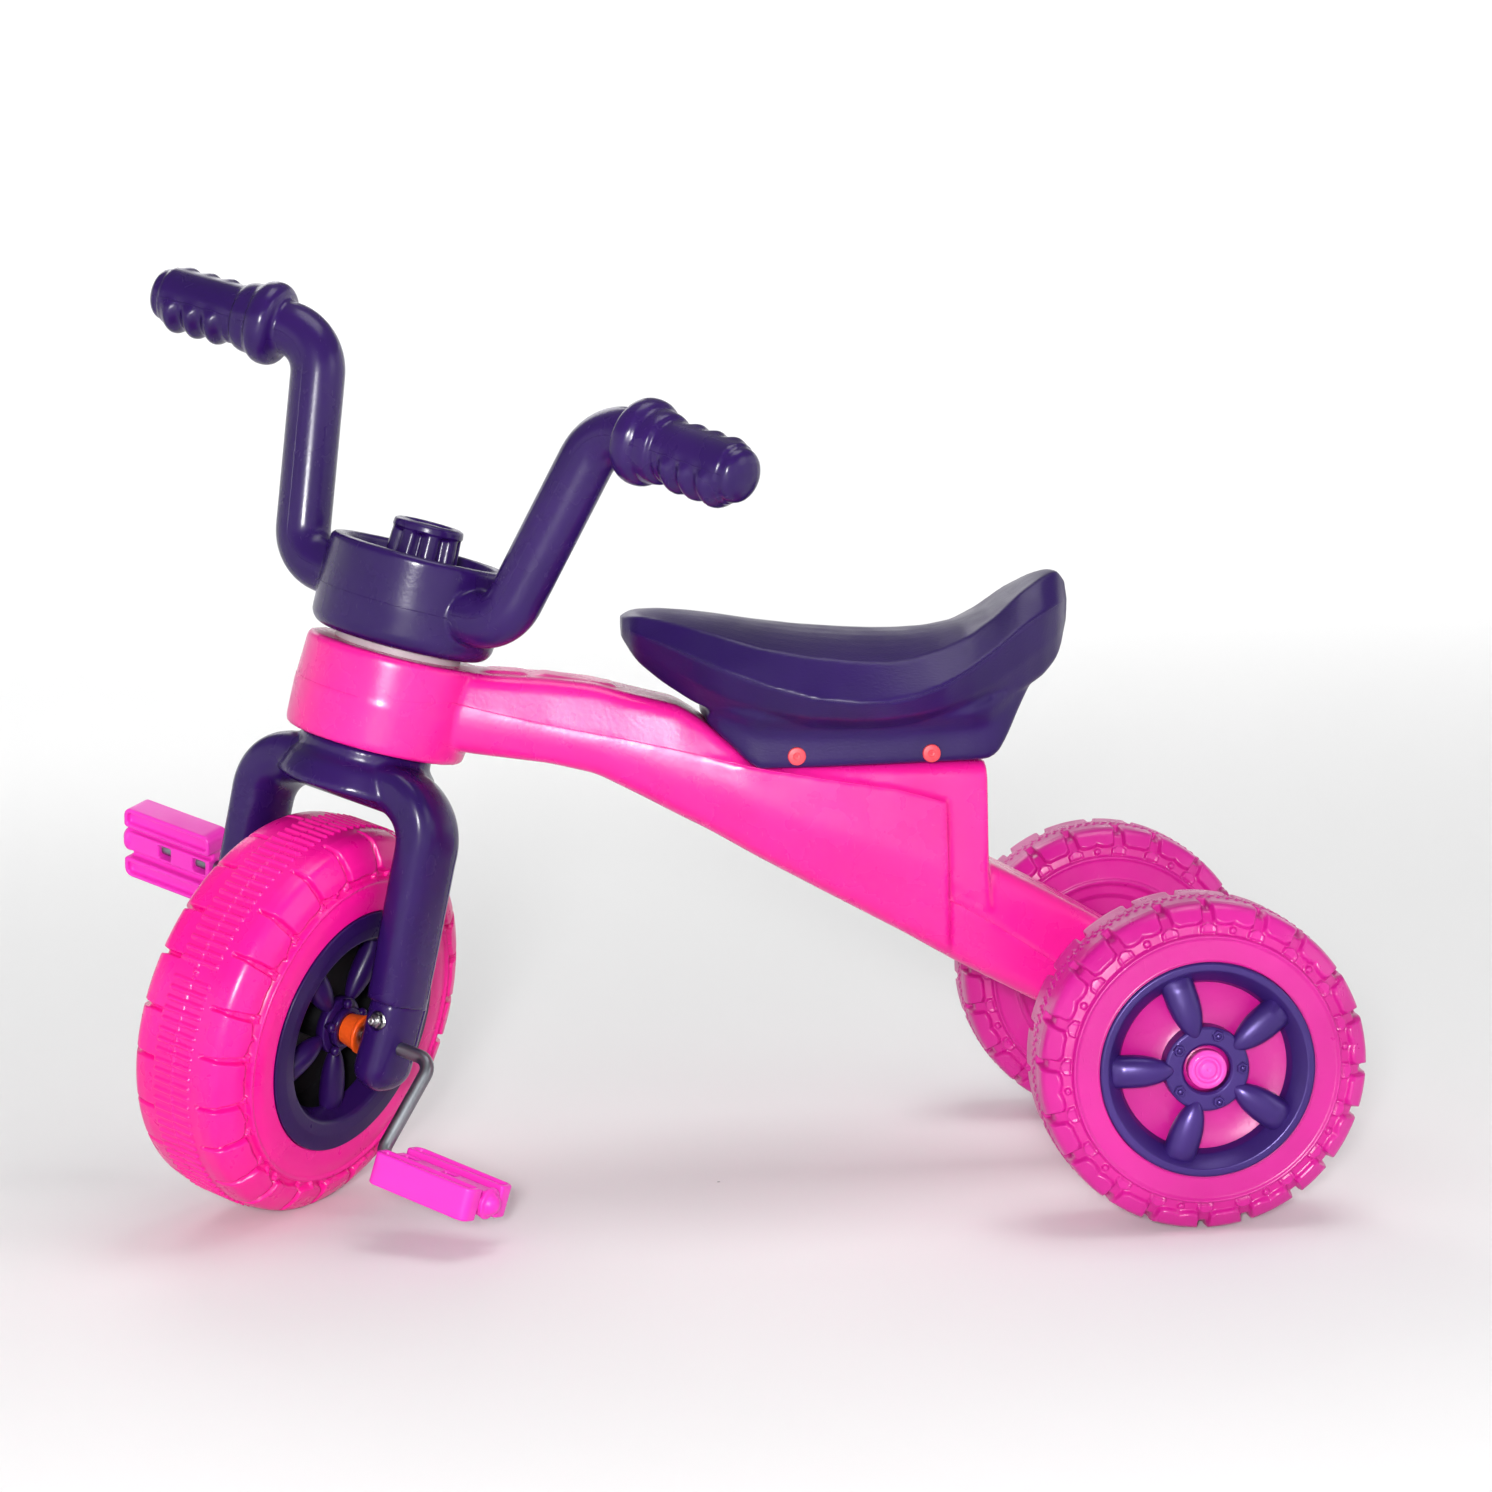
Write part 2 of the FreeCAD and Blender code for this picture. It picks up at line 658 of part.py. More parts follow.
def build_fork_end_nuts():
    """A hexagon nut on the front of each fork end."""
    body = new_body("fork_end_nuts", steering)
    height, radius = size("clamp_bolt_height"), size("clamp_bolt_radius")
    face = size("fork_depth") / 2 - size("fork_end_inset") - 2.0
    nuts = sketch_on(body, "XZ_Plane", face - size("fork_end_back"))
    across = 3.8
    for sign in (-1.0, 1.0):
        middle = size("fork_side") * sign
        outline(nuts, [
            (middle + across * math.cos(math.radians(60 * step)),
             height + across * math.sin(math.radians(60 * step)))
            for step in range(6)
        ])
        circle(nuts, middle, height, radius + 0.02)
    extruded(body, nuts, 3.2)
    body.AllowCompound = True


def build_stem_bolt():
    """The long bolt that ties fork, head and handlebar; its head is under the crown."""
    body = new_body("stem_bolt", steering)
    under, top, radius = size("arch_height"), size("stem_top"), size("stem_radius")
    head, shoulder = size("stem_head_radius"), under + size("stem_head_height")
    turned(body, [
        (0.0, under), (head, under), (head, shoulder), (radius, shoulder), (radius, top - 1.0),
        (radius - 1.0, top), (0.0, top),
    ], "V_Axis", "XZ_Plane")


def build_head_bush(name, seat_height, flange_height, flange_radius):
    """A flanged bush pressed into one end of the head; the fork's journal turns in it."""
    body = new_body(name, steering)
    inner, outer = size("journal_radius") + running, size("head_bush_radius") - 0.02
    upwards = flange_height.value > seat_height.value
    far_end = seat_height - 18.0 if upwards else seat_height + 18.0
    turned(body, [
        (inner, far_end), (outer, far_end), (outer, seat_height), (flange_radius, seat_height),
        (flange_radius, flange_height), (inner, flange_height),
    ], "V_Axis", "XZ_Plane")


# ---------------------------------------------------------------- handlebar
def build_handlebar():
    """One moulding: a drum with a well in its top, two cranked arms, collars and grips."""
    bottom, top, radius = size("drum_bottom"), size("drum_top"), size("drum_radius")
    well, floor = size("drum_well_radius"), size("drum_well_floor")
    edge = 9.0
    drum = new_body("handlebar_drum", steering, whole=False)
    turned(drum, [
        (0.0, bottom), (radius - edge, bottom, edge), (radius, bottom + edge),
        (radius, top - 4.0, 4.0), (radius - 4.0, top), (well + 2.0, top), (well, top - 2.0),
        (well, floor), (0.0, floor),
    ], "V_Axis", "XZ_Plane")
    socket = sketch_on(drum, "XY_Plane", bottom)
    wide = key + 0.1
    rectangle(socket, -wide, -wide, wide, wide)
    extruded(drum, socket, key_height + 0.5, "Pocket", reverse=True)
    bore = sketch_on(drum, "XY_Plane", floor)
    circle(bore, 0.0, 0.0, size("stem_radius") + 0.1)
    extruded(drum, bore, floor - bottom, "Pocket")
    handlebar = doc.addObject("Part::MultiFuse", "handlebar")
    handlebar.Label = "handlebar"
    handlebar.Shapes = [drum] + [bar_arm(side) for side in ("left", "right")]
    SUBPARTS.append(handlebar)


def rounded_path(points, radii):
    """Straight runs through the points, joined by tangent arcs."""
    edges, start = [], points[0]
    for before, corner, after, radius in zip(points, points[1:], points[2:], radii):
        to_before, to_after = (before - corner).normalize(), (after - corner).normalize()
        half_angle = to_before.getAngle(to_after) / 2
        setback = radius / math.tan(half_angle)
        first, last = corner + to_before * setback, corner + to_after * setback
        centre = corner + (to_before + to_after).normalize() * (radius / math.sin(half_angle))
        middle = centre + (corner - centre).normalize() * radius
        edges += [Part.LineSegment(start, first).toShape(), Part.Arc(first, middle, last).toShape()]
        start = last
    edges.append(Part.LineSegment(start, points[-1]).toShape())
    return Part.Wire(edges)


def bar_arm(side):
    """The left or right tube, up and out to a ribbed grip behind a stepped collar."""
    sign = 1 if side == "left" else -1
    forward = -SIZES["bar_forward"]
    inside = Vector(34 * sign, forward, SIZES["bar_low_height"] - 4)
    low = Vector(SIZES["bar_low_side"] * sign, forward, SIZES["bar_low_height"])
    high = Vector(SIZES["bar_high_side"] * sign, forward, SIZES["bar_high_height"])
    tip = Vector(SIZES["grip_side"] * sign, -SIZES["grip_forward"], SIZES["grip_height"])
    path = rounded_path([inside, low, high, tip], [22.0, 26.0])
    ring = Part.Wire(Part.makeCircle(SIZES["bar_radius"], inside, low - inside))
    tube = path.makePipeShell([ring], True, True)
    along = (tip - high).normalize()
    collar, radius = high + along * 31, SIZES["collar_radius"]
    steps = [
        Part.makeCylinder(radius, 17, collar - along * 8.5, along),
        Part.makeCylinder(radius - 3.5, 23, collar - along * 8.5, along),
    ]
    ribs = [
        Part.makeTorus(SIZES["grip_radius"] - 1.5, 3.0, collar + along * place, along)
        for place in (26, 38, 50, 62)
    ]
    arm = doc.addObject("Part::Feature", f"bar_arm_{side}")
    arm.Shape = tube.fuse(steps + ribs)
    arm.Placement = steering * moved(z=SIZES["bar_low_height"]) * spun(Y_AXIS, SIZES["bar_tilt"]) * moved(
        z=-SIZES["bar_low_height"]
    )
    return arm


def build_knob():
    """The fluted hand nut in the drum's well."""
    body = new_body("steering_knob", steering)
    base, top, radius = size("drum_well_floor") + 1.6, size("knob_top"), size("knob_radius")
    stem = size("stem_radius") + 0.02
    turned(body, [
        (stem, base), (radius, base), (radius, top - 3.0, 3.0), (radius - 3.0, top), (0.0, top),
        (0.0, size("stem_top") + 0.5), (stem, size("stem_top") + 0.5),
    ], "V_Axis", "XZ_Plane")
    flute = sketch_on(body, "XY_Plane", top)
    circle(flute, radius + 2.2, 0.0, 4.6)
    cut = extruded(body, flute, top - base - 4.0, "Pocket")
    ring_of(body, cut, 8, "Z_Axis")


def build_knob_washer():
    """The steel washer between knob and drum."""
    body = new_body("knob_washer", steering)
    base = size("drum_well_floor")
    turned(body, [
        (size("stem_radius") + 0.1, base), (13.0, base), (13.0, base + 1.5),
        (size("stem_radius") + 0.1, base + 1.5),
    ], "V_Axis", "XZ_Plane")


# ---------------------------------------------------------------- frame
def section(body, place, top, middle, bottom, half_top, half_middle, half_bottom):
    """A rounded closed section across the frame: widest along its moulding seam."""
    sketch = sketch_on(body, "XZ_Plane", -place)
    upper, lower = 10.0, 16.0
    outline(sketch, [
        (half_bottom - lower, bottom, lower), (half_bottom, bottom + lower), (half_middle, middle),
        (half_top, top - upper, upper), (half_top - upper, top), (upper - half_top, top, upper),
        (-half_top, top - upper), (-half_middle, middle), (-half_bottom, bottom + lower, lower),
        (lower - half_bottom, bottom),
    ])
    return sketch


def build_frame_body():
    """The blow-moulded frame: head, beam, seat deck and boss, tail and axle tube."""
    body = new_body("frame_body", chassis)
    for table in ("beam", "tail"):
        lofted(body, [section(body, *sizes) for sizes in sections_of(table)])
    tube, half = size("axle_tube_radius"), size("axle_tube_half")
    profile = sketch_on(body, "XY_Plane", rear_radius)
    outline(profile, [
        (-half, 0.0), (half, 0.0), (half, 14.0), (half - 8.0, tube - 2.0), (30.0, tube),
        (-30.0, tube), (8.0 - half, tube - 2.0), (-half, 14.0),
    ])
    axle_tube = body.newObject("PartDesign::Revolution", "axle_tube")
    axle_tube.Profile = profile
    axle_tube.ReferenceAxis = (profile, ["H_Axis"])
    boss = sketch_on(body, "XY_Plane", size("deck_height") - 8.0)
    wide = size("boss_half_width")
    rectangle(boss, -wide, -222.0, wide, -104.0)
    extruded(body, boss, size("boss_top") - size("deck_height") + 8.0)
    bottom, top = size("head_bottom"), size("head_top")
    base = moved(y=-size("wheelbase"), z=size("steer_base_height")) * spun(X_AXIS, -SIZES["rake"])

    def head_sketch(height):
        """A sketch across the steering axis, at a height along it."""
        return sketch_on(body, "XY_Plane", None, base * moved(z=height))

    head = head_sketch(bottom)
    circle(head, 0.0, 0.0, size("head_radius"))
    extruded(body, head, top - bottom)

    def lower_rim(edge):
        """The head's outer edge at its bottom."""
        if edge.Curve.TypeId != "Part::GeomCircle":
            return False
        on_rim = abs(edge.Curve.Radius - SIZES["head_radius"]) < 0.01
        return on_rim and (edge.Curve.Center - base.Base).Length < SIZES["head_bottom"] + 1

    rounded_edges(body, 5.0, lower_rim)
    bore = head_sketch(top + 20.0)
    circle(bore, 0.0, 0.0, size("head_bush_radius"))
    extruded(body, bore, top - bottom + 40.0, "Pocket")
    counterbore = head_sketch(bottom + 3.2)
    circle(counterbore, 0.0, 0.0, 30.0)
    extruded(body, counterbore, 30.0, "Pocket")
    axle_bore = sketch_on(body, "YZ_Plane")
    circle(axle_bore, 0.0, rear_radius, rod + 0.02)
    extruded(body, axle_bore, half * 2.0 + 10.0, "Pocket", symmetric=True)
    plug_holes = sketch_on(body, "YZ_Plane")
    for place in (size("plug_front"), size("plug_rear")):
        circle(plug_holes, place, size("plug_height"), size("plug_radius") - 1.2)
    extruded(body, plug_holes, 120.0, "Pocket", symmetric=True)


# ---------------------------------------------------------------- seat
def build_seat():
    """The saddle: a crowned top with an upturned tail, over a skirt that takes the boss."""
    body = new_body("seat", chassis)
    sketches = []
    for place, under, half_under, seam, half_seam, crease, half_crease, crown in sections_of("seat"):
        sketch = sketch_on(body, "XZ_Plane", -place)
        outline(sketch, [
            (-half_under, under), (half_under, under), (half_seam, seam), (half_crease, crease),
            (0.0, crown), (-half_crease, crease), (-half_seam, seam),
        ])
        sketches.append(sketch)
    lofted(body, sketches)
    foot = size("deck_height") + gap
    skirt = sketch_on(body, "YZ_Plane")
    outline(skirt, [
        (-228.0, foot), (-94.0, foot), (-82.0, foot + 14.0), (-70.0, 284.0), (-256.0, 284.0),
    ])
    extruded(body, skirt, size("skirt_half_width") * 2.0, symmetric=True)
    pocket = sketch_on(body, "XY_Plane", size("boss_top") + 0.5)
    wide = size("boss_half_width") + gap
    rectangle(pocket, -wide, -222.5, wide, -103.5)
    extruded(body, pocket, 60.0, "Pocket")
    holes = sketch_on(body, "YZ_Plane")
    for place in (size("plug_front"), size("plug_rear")):
        circle(holes, place, size("plug_height"), size("plug_radius") - 1.2)
    extruded(body, holes, 120.0, "Pocket", symmetric=True)


def build_seat_plugs():
    """Four push plugs that pin the skirt to the boss."""
    body = new_body("seat_plugs", chassis)
    shank = size("plug_radius") - 1.3
    for inwards in (False, True):
        start = size("skirt_half_width") if inwards else -size("skirt_half_width")
        for width, length, out in ((size("plug_radius"), 1.6, False), (shank, 20.0, True)):
            sketch = sketch_on(body, "YZ_Plane", start)
            for place in (size("plug_front"), size("plug_rear")):
                circle(sketch, place, size("plug_height"), width)
            extruded(body, sketch, length, reverse=inwards == out)
    body.AllowCompound = True


# ---------------------------------------------------------------- rear axle and wheels
def build_rear_axle():
    body = new_body("rear_axle", chassis * moved(z=rear_radius))
    end = half_track + 28.5
    turned(body, [(-end, 0.0), (end, 0.0), (end, rod), (-end, rod)])


def build_axle_ring(name, start, length, inner, outer):
    """A ring on each end of the rear axle, as one pair."""
    body = new_body(name, chassis * moved(z=rear_radius))
    for sign in (-1.0, 1.0):
        near, far = start * sign, (start + length) * sign
        turned(body, [(near, inner), (far, inner), (far, outer), (near, outer)])
    body.AllowCompound = True


def build_axle_cap(side):
    """The domed cap pressed on the axle's end; +X is outboard."""
    body = new_body(f"axle_cap_{side}", rear_wheels[side])
    radius, back = size("axle_cap_radius"), size("rear_bush_end") + gap
    front = size("rear_half_width") - 0.6
    turned(body, [
        (back, rod + 0.02), (28.7, rod + 0.02), (28.7, 0.0), (front, 0.0), (front, radius - 3.0, 3.0),
        (front - 3.0, radius), (back, radius),
    ])


def build_rear_tyre(side):
    """Tyre and disc as one hollow moulding, recessed outboard for the cover."""
    body = new_body(f"rear_tyre_{side}", rear_wheels[side])
    radius, half, wall = rear_radius, size("rear_half_width"), size("wall")
    recess, floor, bore = size("cover_radius") + 0.3, size("cover_floor"), size("rear_bush_radius")
    tread = both_sides([
        (half, radius - 18.0), (half - 1.2, radius - 11.0, 11.0), (half - 9.0, radius - 1.0),
        (half - 15.0, radius),
    ])
    turned(body, [
        (-28.0, bore + 0.02), (24.0, bore + 0.02), (24.0, 12.0), (floor, 14.0), (floor, recess),
        (half, recess), *tread, (-half, 60.0), (-20.0, 50.0), (-20.0, 24.0), (-28.0, 20.0),
    ])
    hollowed(body, [
        (-17.0, 12.0), (floor - wall, 16.0), (floor - wall, recess + wall),
        (half - wall, recess + wall), (half - wall, radius - 19.0), (half - 4.6, radius - 13.0),
        (half - 11.0, radius - 4.5), (11.0 - half, radius - 4.5), (4.6 - half, radius - 13.0),
        (wall - half, radius - 19.0), (wall - half, 61.5), (-17.0, 51.5),
    ])


def build_rear_bush(side):
    body = new_body(f"rear_bush_{side}", rear_wheels[side])
    inner, outer, end = rod + running, size("rear_bush_radius"), size("rear_bush_end")
    turned(body, [
        (-28.0, inner), (end, inner), (end, outer), (-27.99, outer),
    ])


def build_rear_cover(side):
    """The ring, hub and five spokes clipped in the recess; +X is outboard."""
    body = new_body(f"rear_cover_{side}", rear_wheels[side])
    face, floor = size("rear_half_width"), size("cover_floor") + 0.1
    ring, inner, hub = size("cover_radius"), size("cover_inner"), size("cover_hub_radius")
    turned(body, [
        (floor, inner), (floor, ring), (face, ring), (face, ring - 6.0), (face - 3.0, inner + 1.5),
    ])
    hub_face = face - 2.0
    well = size("axle_cap_radius") + 2.2
    turned(body, [
        (floor, 14.3), (floor, hub), (hub_face - 2.0, hub, 2.0), (hub_face, hub - 2.0), (hub_face, well),
        (24.3, well),
    ])
    spoke = sketch_on(body, "YZ_Plane", floor)
    half = 8.0
    outline(spoke, [
        (-2.5, hub - 1.0), (2.5, hub - 1.0), (half, inner - 8.0), (half - 1.0, inner + 2.0),
        (1.0 - half, inner + 2.0), (-half, inner - 8.0),
    ])
    ring_of(body, extruded(body, spoke, face - floor - 3.0), 5)


# ---------------------------------------------------------------- build, test and write
def build_all():
    build_frame_body()
    build_seat()
    build_seat_plugs()
    build_rear_axle()
    tube_end = size("axle_tube_half") + 0.1
    build_axle_ring("axle_washers", tube_end, 1.5, rod + 0.1, 10.0)
    build_axle_ring("axle_spacers", tube_end + 1.6, 9.0, rod + 0.1, 7.5)
    build_fork()
    build_fork_end_bolts()
    build_fork_end_nuts()
    build_stem_bolt()
    build_head_bush("lower_head_bush", size("head_bottom") + 3.2, size("head_bottom") + 0.2, 29.5)
    build_head_bush("upper_head_bush", size("head_top") + 0.02, size("drum_bottom") - gap, 36.0)
    build_handlebar()
    build_knob()
    build_knob_washer()
    build_front_tyre()
    build_front_hub_core()
    build_crank()
    for side in ("left", "right"):
        build_axle_cap(side)
        build_rear_tyre(side)
        build_rear_bush(side)
        build_rear_cover(side)
        build_fork_end(side)
        build_front_ring(side)
        build_front_bush(side)
        build_pedal(side)


def check_and_write():
    doc.recompute()
    for thing in doc.Objects:
        if {"Invalid", "Error"} & set(thing.State):
            raise RuntimeError(f"{thing.Label} failed to compute")
        if thing.TypeId in ("PartDesign::Pocket", "PartDesign::Groove"):
            if thing.BaseFeature.Shape.Volume - thing.Shape.Volume < 1.0:
                raise RuntimeError(f"{thing.Label} cuts nothing")
    for subpart in SUBPARTS:
        shape = subpart.Shape
        if shape.isNull() or not shape.isValid() or not shape.Solids:
            raise RuntimeError(f"{subpart.Label} has no valid solid")
    for subpart in SUBPARTS:
        subpart.Shape.exportStep(f"parts/{subpart.Label}.step")
        print(f"{subpart.Label}: {len(subpart.Shape.Solids)} solids, {subpart.Shape.Volume / 1000:.2f} cm3")


build_all()
check_and_write()
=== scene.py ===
"""The looks of the children's tricycle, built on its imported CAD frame.

Shapes are written in millimetres in the local frame of the group they belong to and placed
by one rigid matrix each.  Wheel frames: +X along the axle, outboard.  Steering frame: +X to
the rider's left, +Y backwards, +Z along the steering axis.  Chassis frame: +Y backwards from
the rear axle, +Z up from the floor.
"""

import json
import math

import bmesh
import bpy
import numpy as np
from mathutils import Matrix, Vector
from mathutils.bvhtree import BVHTree


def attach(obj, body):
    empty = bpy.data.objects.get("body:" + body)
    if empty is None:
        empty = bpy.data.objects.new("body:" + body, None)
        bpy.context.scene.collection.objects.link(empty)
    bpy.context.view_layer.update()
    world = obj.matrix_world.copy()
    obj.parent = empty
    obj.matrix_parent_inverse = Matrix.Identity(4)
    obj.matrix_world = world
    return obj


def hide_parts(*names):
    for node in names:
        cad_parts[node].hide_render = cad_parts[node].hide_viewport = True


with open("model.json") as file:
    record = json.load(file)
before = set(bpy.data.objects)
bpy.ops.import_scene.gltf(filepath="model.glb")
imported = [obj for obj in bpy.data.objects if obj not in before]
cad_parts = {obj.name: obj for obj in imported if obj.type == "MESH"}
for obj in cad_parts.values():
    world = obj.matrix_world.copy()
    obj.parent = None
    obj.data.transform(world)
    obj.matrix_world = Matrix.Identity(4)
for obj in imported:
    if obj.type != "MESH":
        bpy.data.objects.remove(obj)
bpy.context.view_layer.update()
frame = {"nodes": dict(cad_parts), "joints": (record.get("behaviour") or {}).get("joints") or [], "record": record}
MM = 0.001
TAU = 2 * math.pi


# ---- local frames
def from_axes(x, y, z, origin):
    place = Matrix((x, y, z)).transposed().to_4x4()
    place.translation = origin
    return place


def turn(degrees, axis):
    return Matrix.Rotation(math.radians(degrees), 4, axis)


def shift(x=0.0, y=0.0, z=0.0):
    return Matrix.Translation(Vector((x, y, z)) * MM)


JOINTS = {joint["name"]: joint for joint in frame["joints"]}
UP = Vector(JOINTS["steering_turn"]["axis"]).normalized()
ACROSS = Vector(JOINTS["front_wheel_spin"]["axis"]).normalized()
STEER = from_axes(ACROSS, UP.cross(ACROSS), UP, Vector(JOINTS["steering_turn"]["pos_m"]))
WHEEL = STEER.copy()
WHEEL.translation = Vector(JOINTS["front_wheel_spin"]["pos_m"])
PIN = WHEEL.inverted() @ Vector(JOINTS["pedal_left_spin"]["pos_m"])
CRANK_ARM = PIN.length / MM
CRANK = WHEEL @ Matrix.Rotation(math.atan2(PIN.y, -PIN.z), 4, "X")
REAR_AXLE = Vector(JOINTS["rear_wheel_left_spin"]["pos_m"])
CHASSIS = Matrix.Translation((0, REAR_AXLE.y, 0))
HALF_TRACK = 131.5
REAR = {
    "left": Matrix.Translation(REAR_AXLE) @ shift(x=HALF_TRACK),
    "right": Matrix.Translation(REAR_AXLE) @ shift(x=-HALF_TRACK) @ turn(180, "Z"),
}
SIGNS = ((1, "left"), (-1, "right"))
FRONT_SIDES = {"left": WHEEL, "right": WHEEL @ turn(180, "Z")}
FORK_SIDES = {"left": STEER, "right": STEER @ turn(180, "Z")}
PEDALS = {
    "left": CRANK @ shift(z=-CRANK_ARM) @ turn(27.3, "X"),
    "right": CRANK @ shift(z=CRANK_ARM) @ turn(180, "Z") @ turn(39.2, "X"),
}


# ---- outlines
def rounded(corners, closed=True, segments=5):
    """Points (x, y) along corners (x, y) or (x, y, rounding radius)."""
    out = []
    count = len(corners)
    for index, corner in enumerate(corners):
        here = np.array(corner[:2], float)
        radius = corner[2] if len(corner) > 2 else 0.0
        if radius <= 0 or (not closed and index in (0, count - 1)):
            out.append(here)
            continue
        to_last = np.array(corners[index - 1][:2], float) - here
        to_next = np.array(corners[(index + 1) % count][:2], float) - here
        last_length, next_length = np.linalg.norm(to_last), np.linalg.norm(to_next)
        to_last /= last_length
        to_next /= next_length
        half = math.acos(max(-1.0, min(1.0, float(to_last @ to_next)))) / 2
        if half > 1.55:
            out.append(here)
            continue
        cut = min(radius / math.tan(half), 0.48 * last_length, 0.48 * next_length)
        radius = cut * math.tan(half)
        middle = to_last + to_next
        centre = here + middle / np.linalg.norm(middle) * (radius / math.sin(half))
        first, last = here + to_last * cut - centre, here + to_next * cut - centre
        angle = math.atan2(first[1], first[0])
        sweep = (math.atan2(last[1], last[0]) - angle + math.pi) % TAU - math.pi
        for step in range(segments + 1):
            a = angle + sweep * step / segments
            out.append(centre + radius * np.array((math.cos(a), math.sin(a))))
    return np.array(out)


def lengths(points):
    steps = np.linalg.norm(np.diff(points, axis=0), axis=1)
    return np.concatenate(([0.0], np.cumsum(steps)))


def at_lengths(points, places):
    along = lengths(points)
    return np.stack([np.interp(places, along, points[:, k]) for k in range(points.shape[1])], 1)


def evenly(points, count, closed=True):
    """The same line as count points, evenly spaced along it."""
    if closed:
        points = np.vstack([points, points[:1]])
    total = lengths(points)[-1]
    return at_lengths(points, np.linspace(0, total, count, endpoint=not closed))


# ---- shells: (vertices, faces)
def grid_faces(rows, columns, close_rows, close_columns):
    row = np.arange(rows if close_rows else rows - 1)
    column = np.arange(columns if close_columns else columns - 1)
    r, c = np.meshgrid(row, column, indexing="ij")
    r, c = r.ravel(), c.ravel()
    next_r, next_c = (r + 1) % rows, (c + 1) % columns
    quads = [
        r * columns + c, next_r * columns + c, next_r * columns + next_c, r * columns + next_c,
    ]
    return np.stack(quads, 1).tolist()


def spun(profile, steps, closed=True, radii=None):
    """A profile of (x, r) turned about X.  radii(angle, r, x) may change r round the turn."""
    angle = np.linspace(0, TAU, steps, endpoint=False)[:, None]
    x = np.broadcast_to(profile[:, 0], (steps, len(profile)))
    r = np.broadcast_to(profile[:, 1], (steps, len(profile)))
    if radii is not None:
        r = radii(angle, r, x)
    points = np.stack([x, -r * np.sin(angle), r * np.cos(angle)], 2)
    return points.reshape(-1, 3), grid_faces(steps, len(profile), True, closed)


def lathe(corners, steps):
    return spun(rounded(corners), steps)


def hex_post(levels, size):
    """A six-sided post along X through (place, scale) levels."""
    angle = np.arange(6) * TAU / 6
    return rings(np.array([
        np.stack([np.full(6, x), size * k * np.cos(angle), size * k * np.sin(angle)], 1)
        for x, k in levels
    ]))


def upright(shell):
    """A shell turned about X set up to stand along Z."""
    return shell[0][:, [2, 1, 0]] * (1, -1, 1), shell[1]


def moved(shell, x=0.0, y=0.0, z=0.0):
    return shell[0] + np.array((x, y, z)), shell[1]


def turned(shell, degrees, axis):
    matrix = np.array(turn(degrees, axis).to_3x3())
    return shell[0] @ matrix.T, shell[1]


def rings(points):
    """Closed rings of points (rings, around, 3), skinned and capped at both ends."""
    count, around = points.shape[:2]
    faces = grid_faces(count, around, False, True)
    faces.append(list(range(around)))
    faces.append([(count - 1) * around + k for k in reversed(range(around))])
    return points.reshape(-1, 3), faces


def swept(centres, sides, depths, half_sides, half_depths, power=2.0, around=40):
    """A tube of superellipse sections: per station a centre, two unit axes and two halves."""
    angle = np.linspace(0, TAU, around, endpoint=False)
    c, s = np.cos(angle), np.sin(angle)
    a = np.sign(c) * np.abs(c) ** (2 / power)
    b = np.sign(s) * np.abs(s) ** (2 / power)
    centres, sides, depths = (np.asarray(v, float)[:, None, :] for v in (centres, sides, depths))
    wide, deep = (np.asarray(v, float)[:, None, None] for v in (half_sides, half_depths))
    return rings(centres + sides * wide * a[None, :, None] + depths * deep * b[None, :, None])


def along_z(x, y, z):
    """Station centres (x, y, z), with x and y constant or per station, and their unit axes."""
    count = len(z)
    centres = np.stack([np.broadcast_to(x, count), np.broadcast_to(y, count), z], 1)
    return centres, np.tile((1.0, 0, 0), (count, 1)), np.tile((0, 1.0, 0), (count, 1))


def bent_path(points, radii, step=2.0):
    """Points every step along straight runs joined by tangent arcs."""
    points = [np.array(p, float) for p in points]
    line = [points[0]]
    for before, corner, after, radius in zip(points, points[1:], points[2:], radii):
        to_before = (before - corner) / np.linalg.norm(before - corner)
        to_after = (after - corner) / np.linalg.norm(after - corner)
        half = math.acos(float(np.clip(to_before @ to_after, -1, 1))) / 2
        cut = radius / math.tan(half)
        middle = (to_before + to_after) / np.linalg.norm(to_before + to_after)
        centre = corner + middle * radius / math.sin(half)
        first = corner + to_before * cut - centre
        last = corner + to_after * cut - centre
        total = math.pi - 2 * half
        for k in range(13):
            a = total * k / 12
            blend = first * math.sin(total - a) + last * math.sin(a)
            line.append(centre + blend / math.sin(total))
    line.append(points[-1])
    line = np.array(line)
    total = lengths(line)[-1]
    return at_lengths(line, np.linspace(0, total, int(total / step) + 1))


def path_frames(path, start_side):
    """Two unit axes across a path at each of its points, turning as little as possible."""
    tangent = np.gradient(path, axis=0)
    tangent /= np.linalg.norm(tangent, axis=1)[:, None]
    side = np.array(start_side, float)
    sides = []
    for t in tangent:
        side = side - t * (side @ t)
        side /= np.linalg.norm(side)
        sides.append(side)
    return np.array(sides), np.cross(tangent, sides)


def box_shell(low, high, radius, segments=3):
    mesh = bmesh.new()
    bmesh.ops.create_cube(mesh, size=1.0)
    low, high = np.array(low, float), np.array(high, float)
    for vert in mesh.verts:
        vert.co = Vector((low + high) / 2) + Vector(np.array(vert.co) * (high - low))
    if radius > 0:
        bmesh.ops.bevel(
            mesh, geom=mesh.edges[:], offset=radius, segments=segments, profile=0.5, affect="EDGES",
        )
    mesh.verts.index_update()
    faces = [[v.index for v in f.verts] for f in mesh.faces]
    shell = np.array([v.co[:] for v in mesh.verts]), faces
    mesh.free()
    return shell


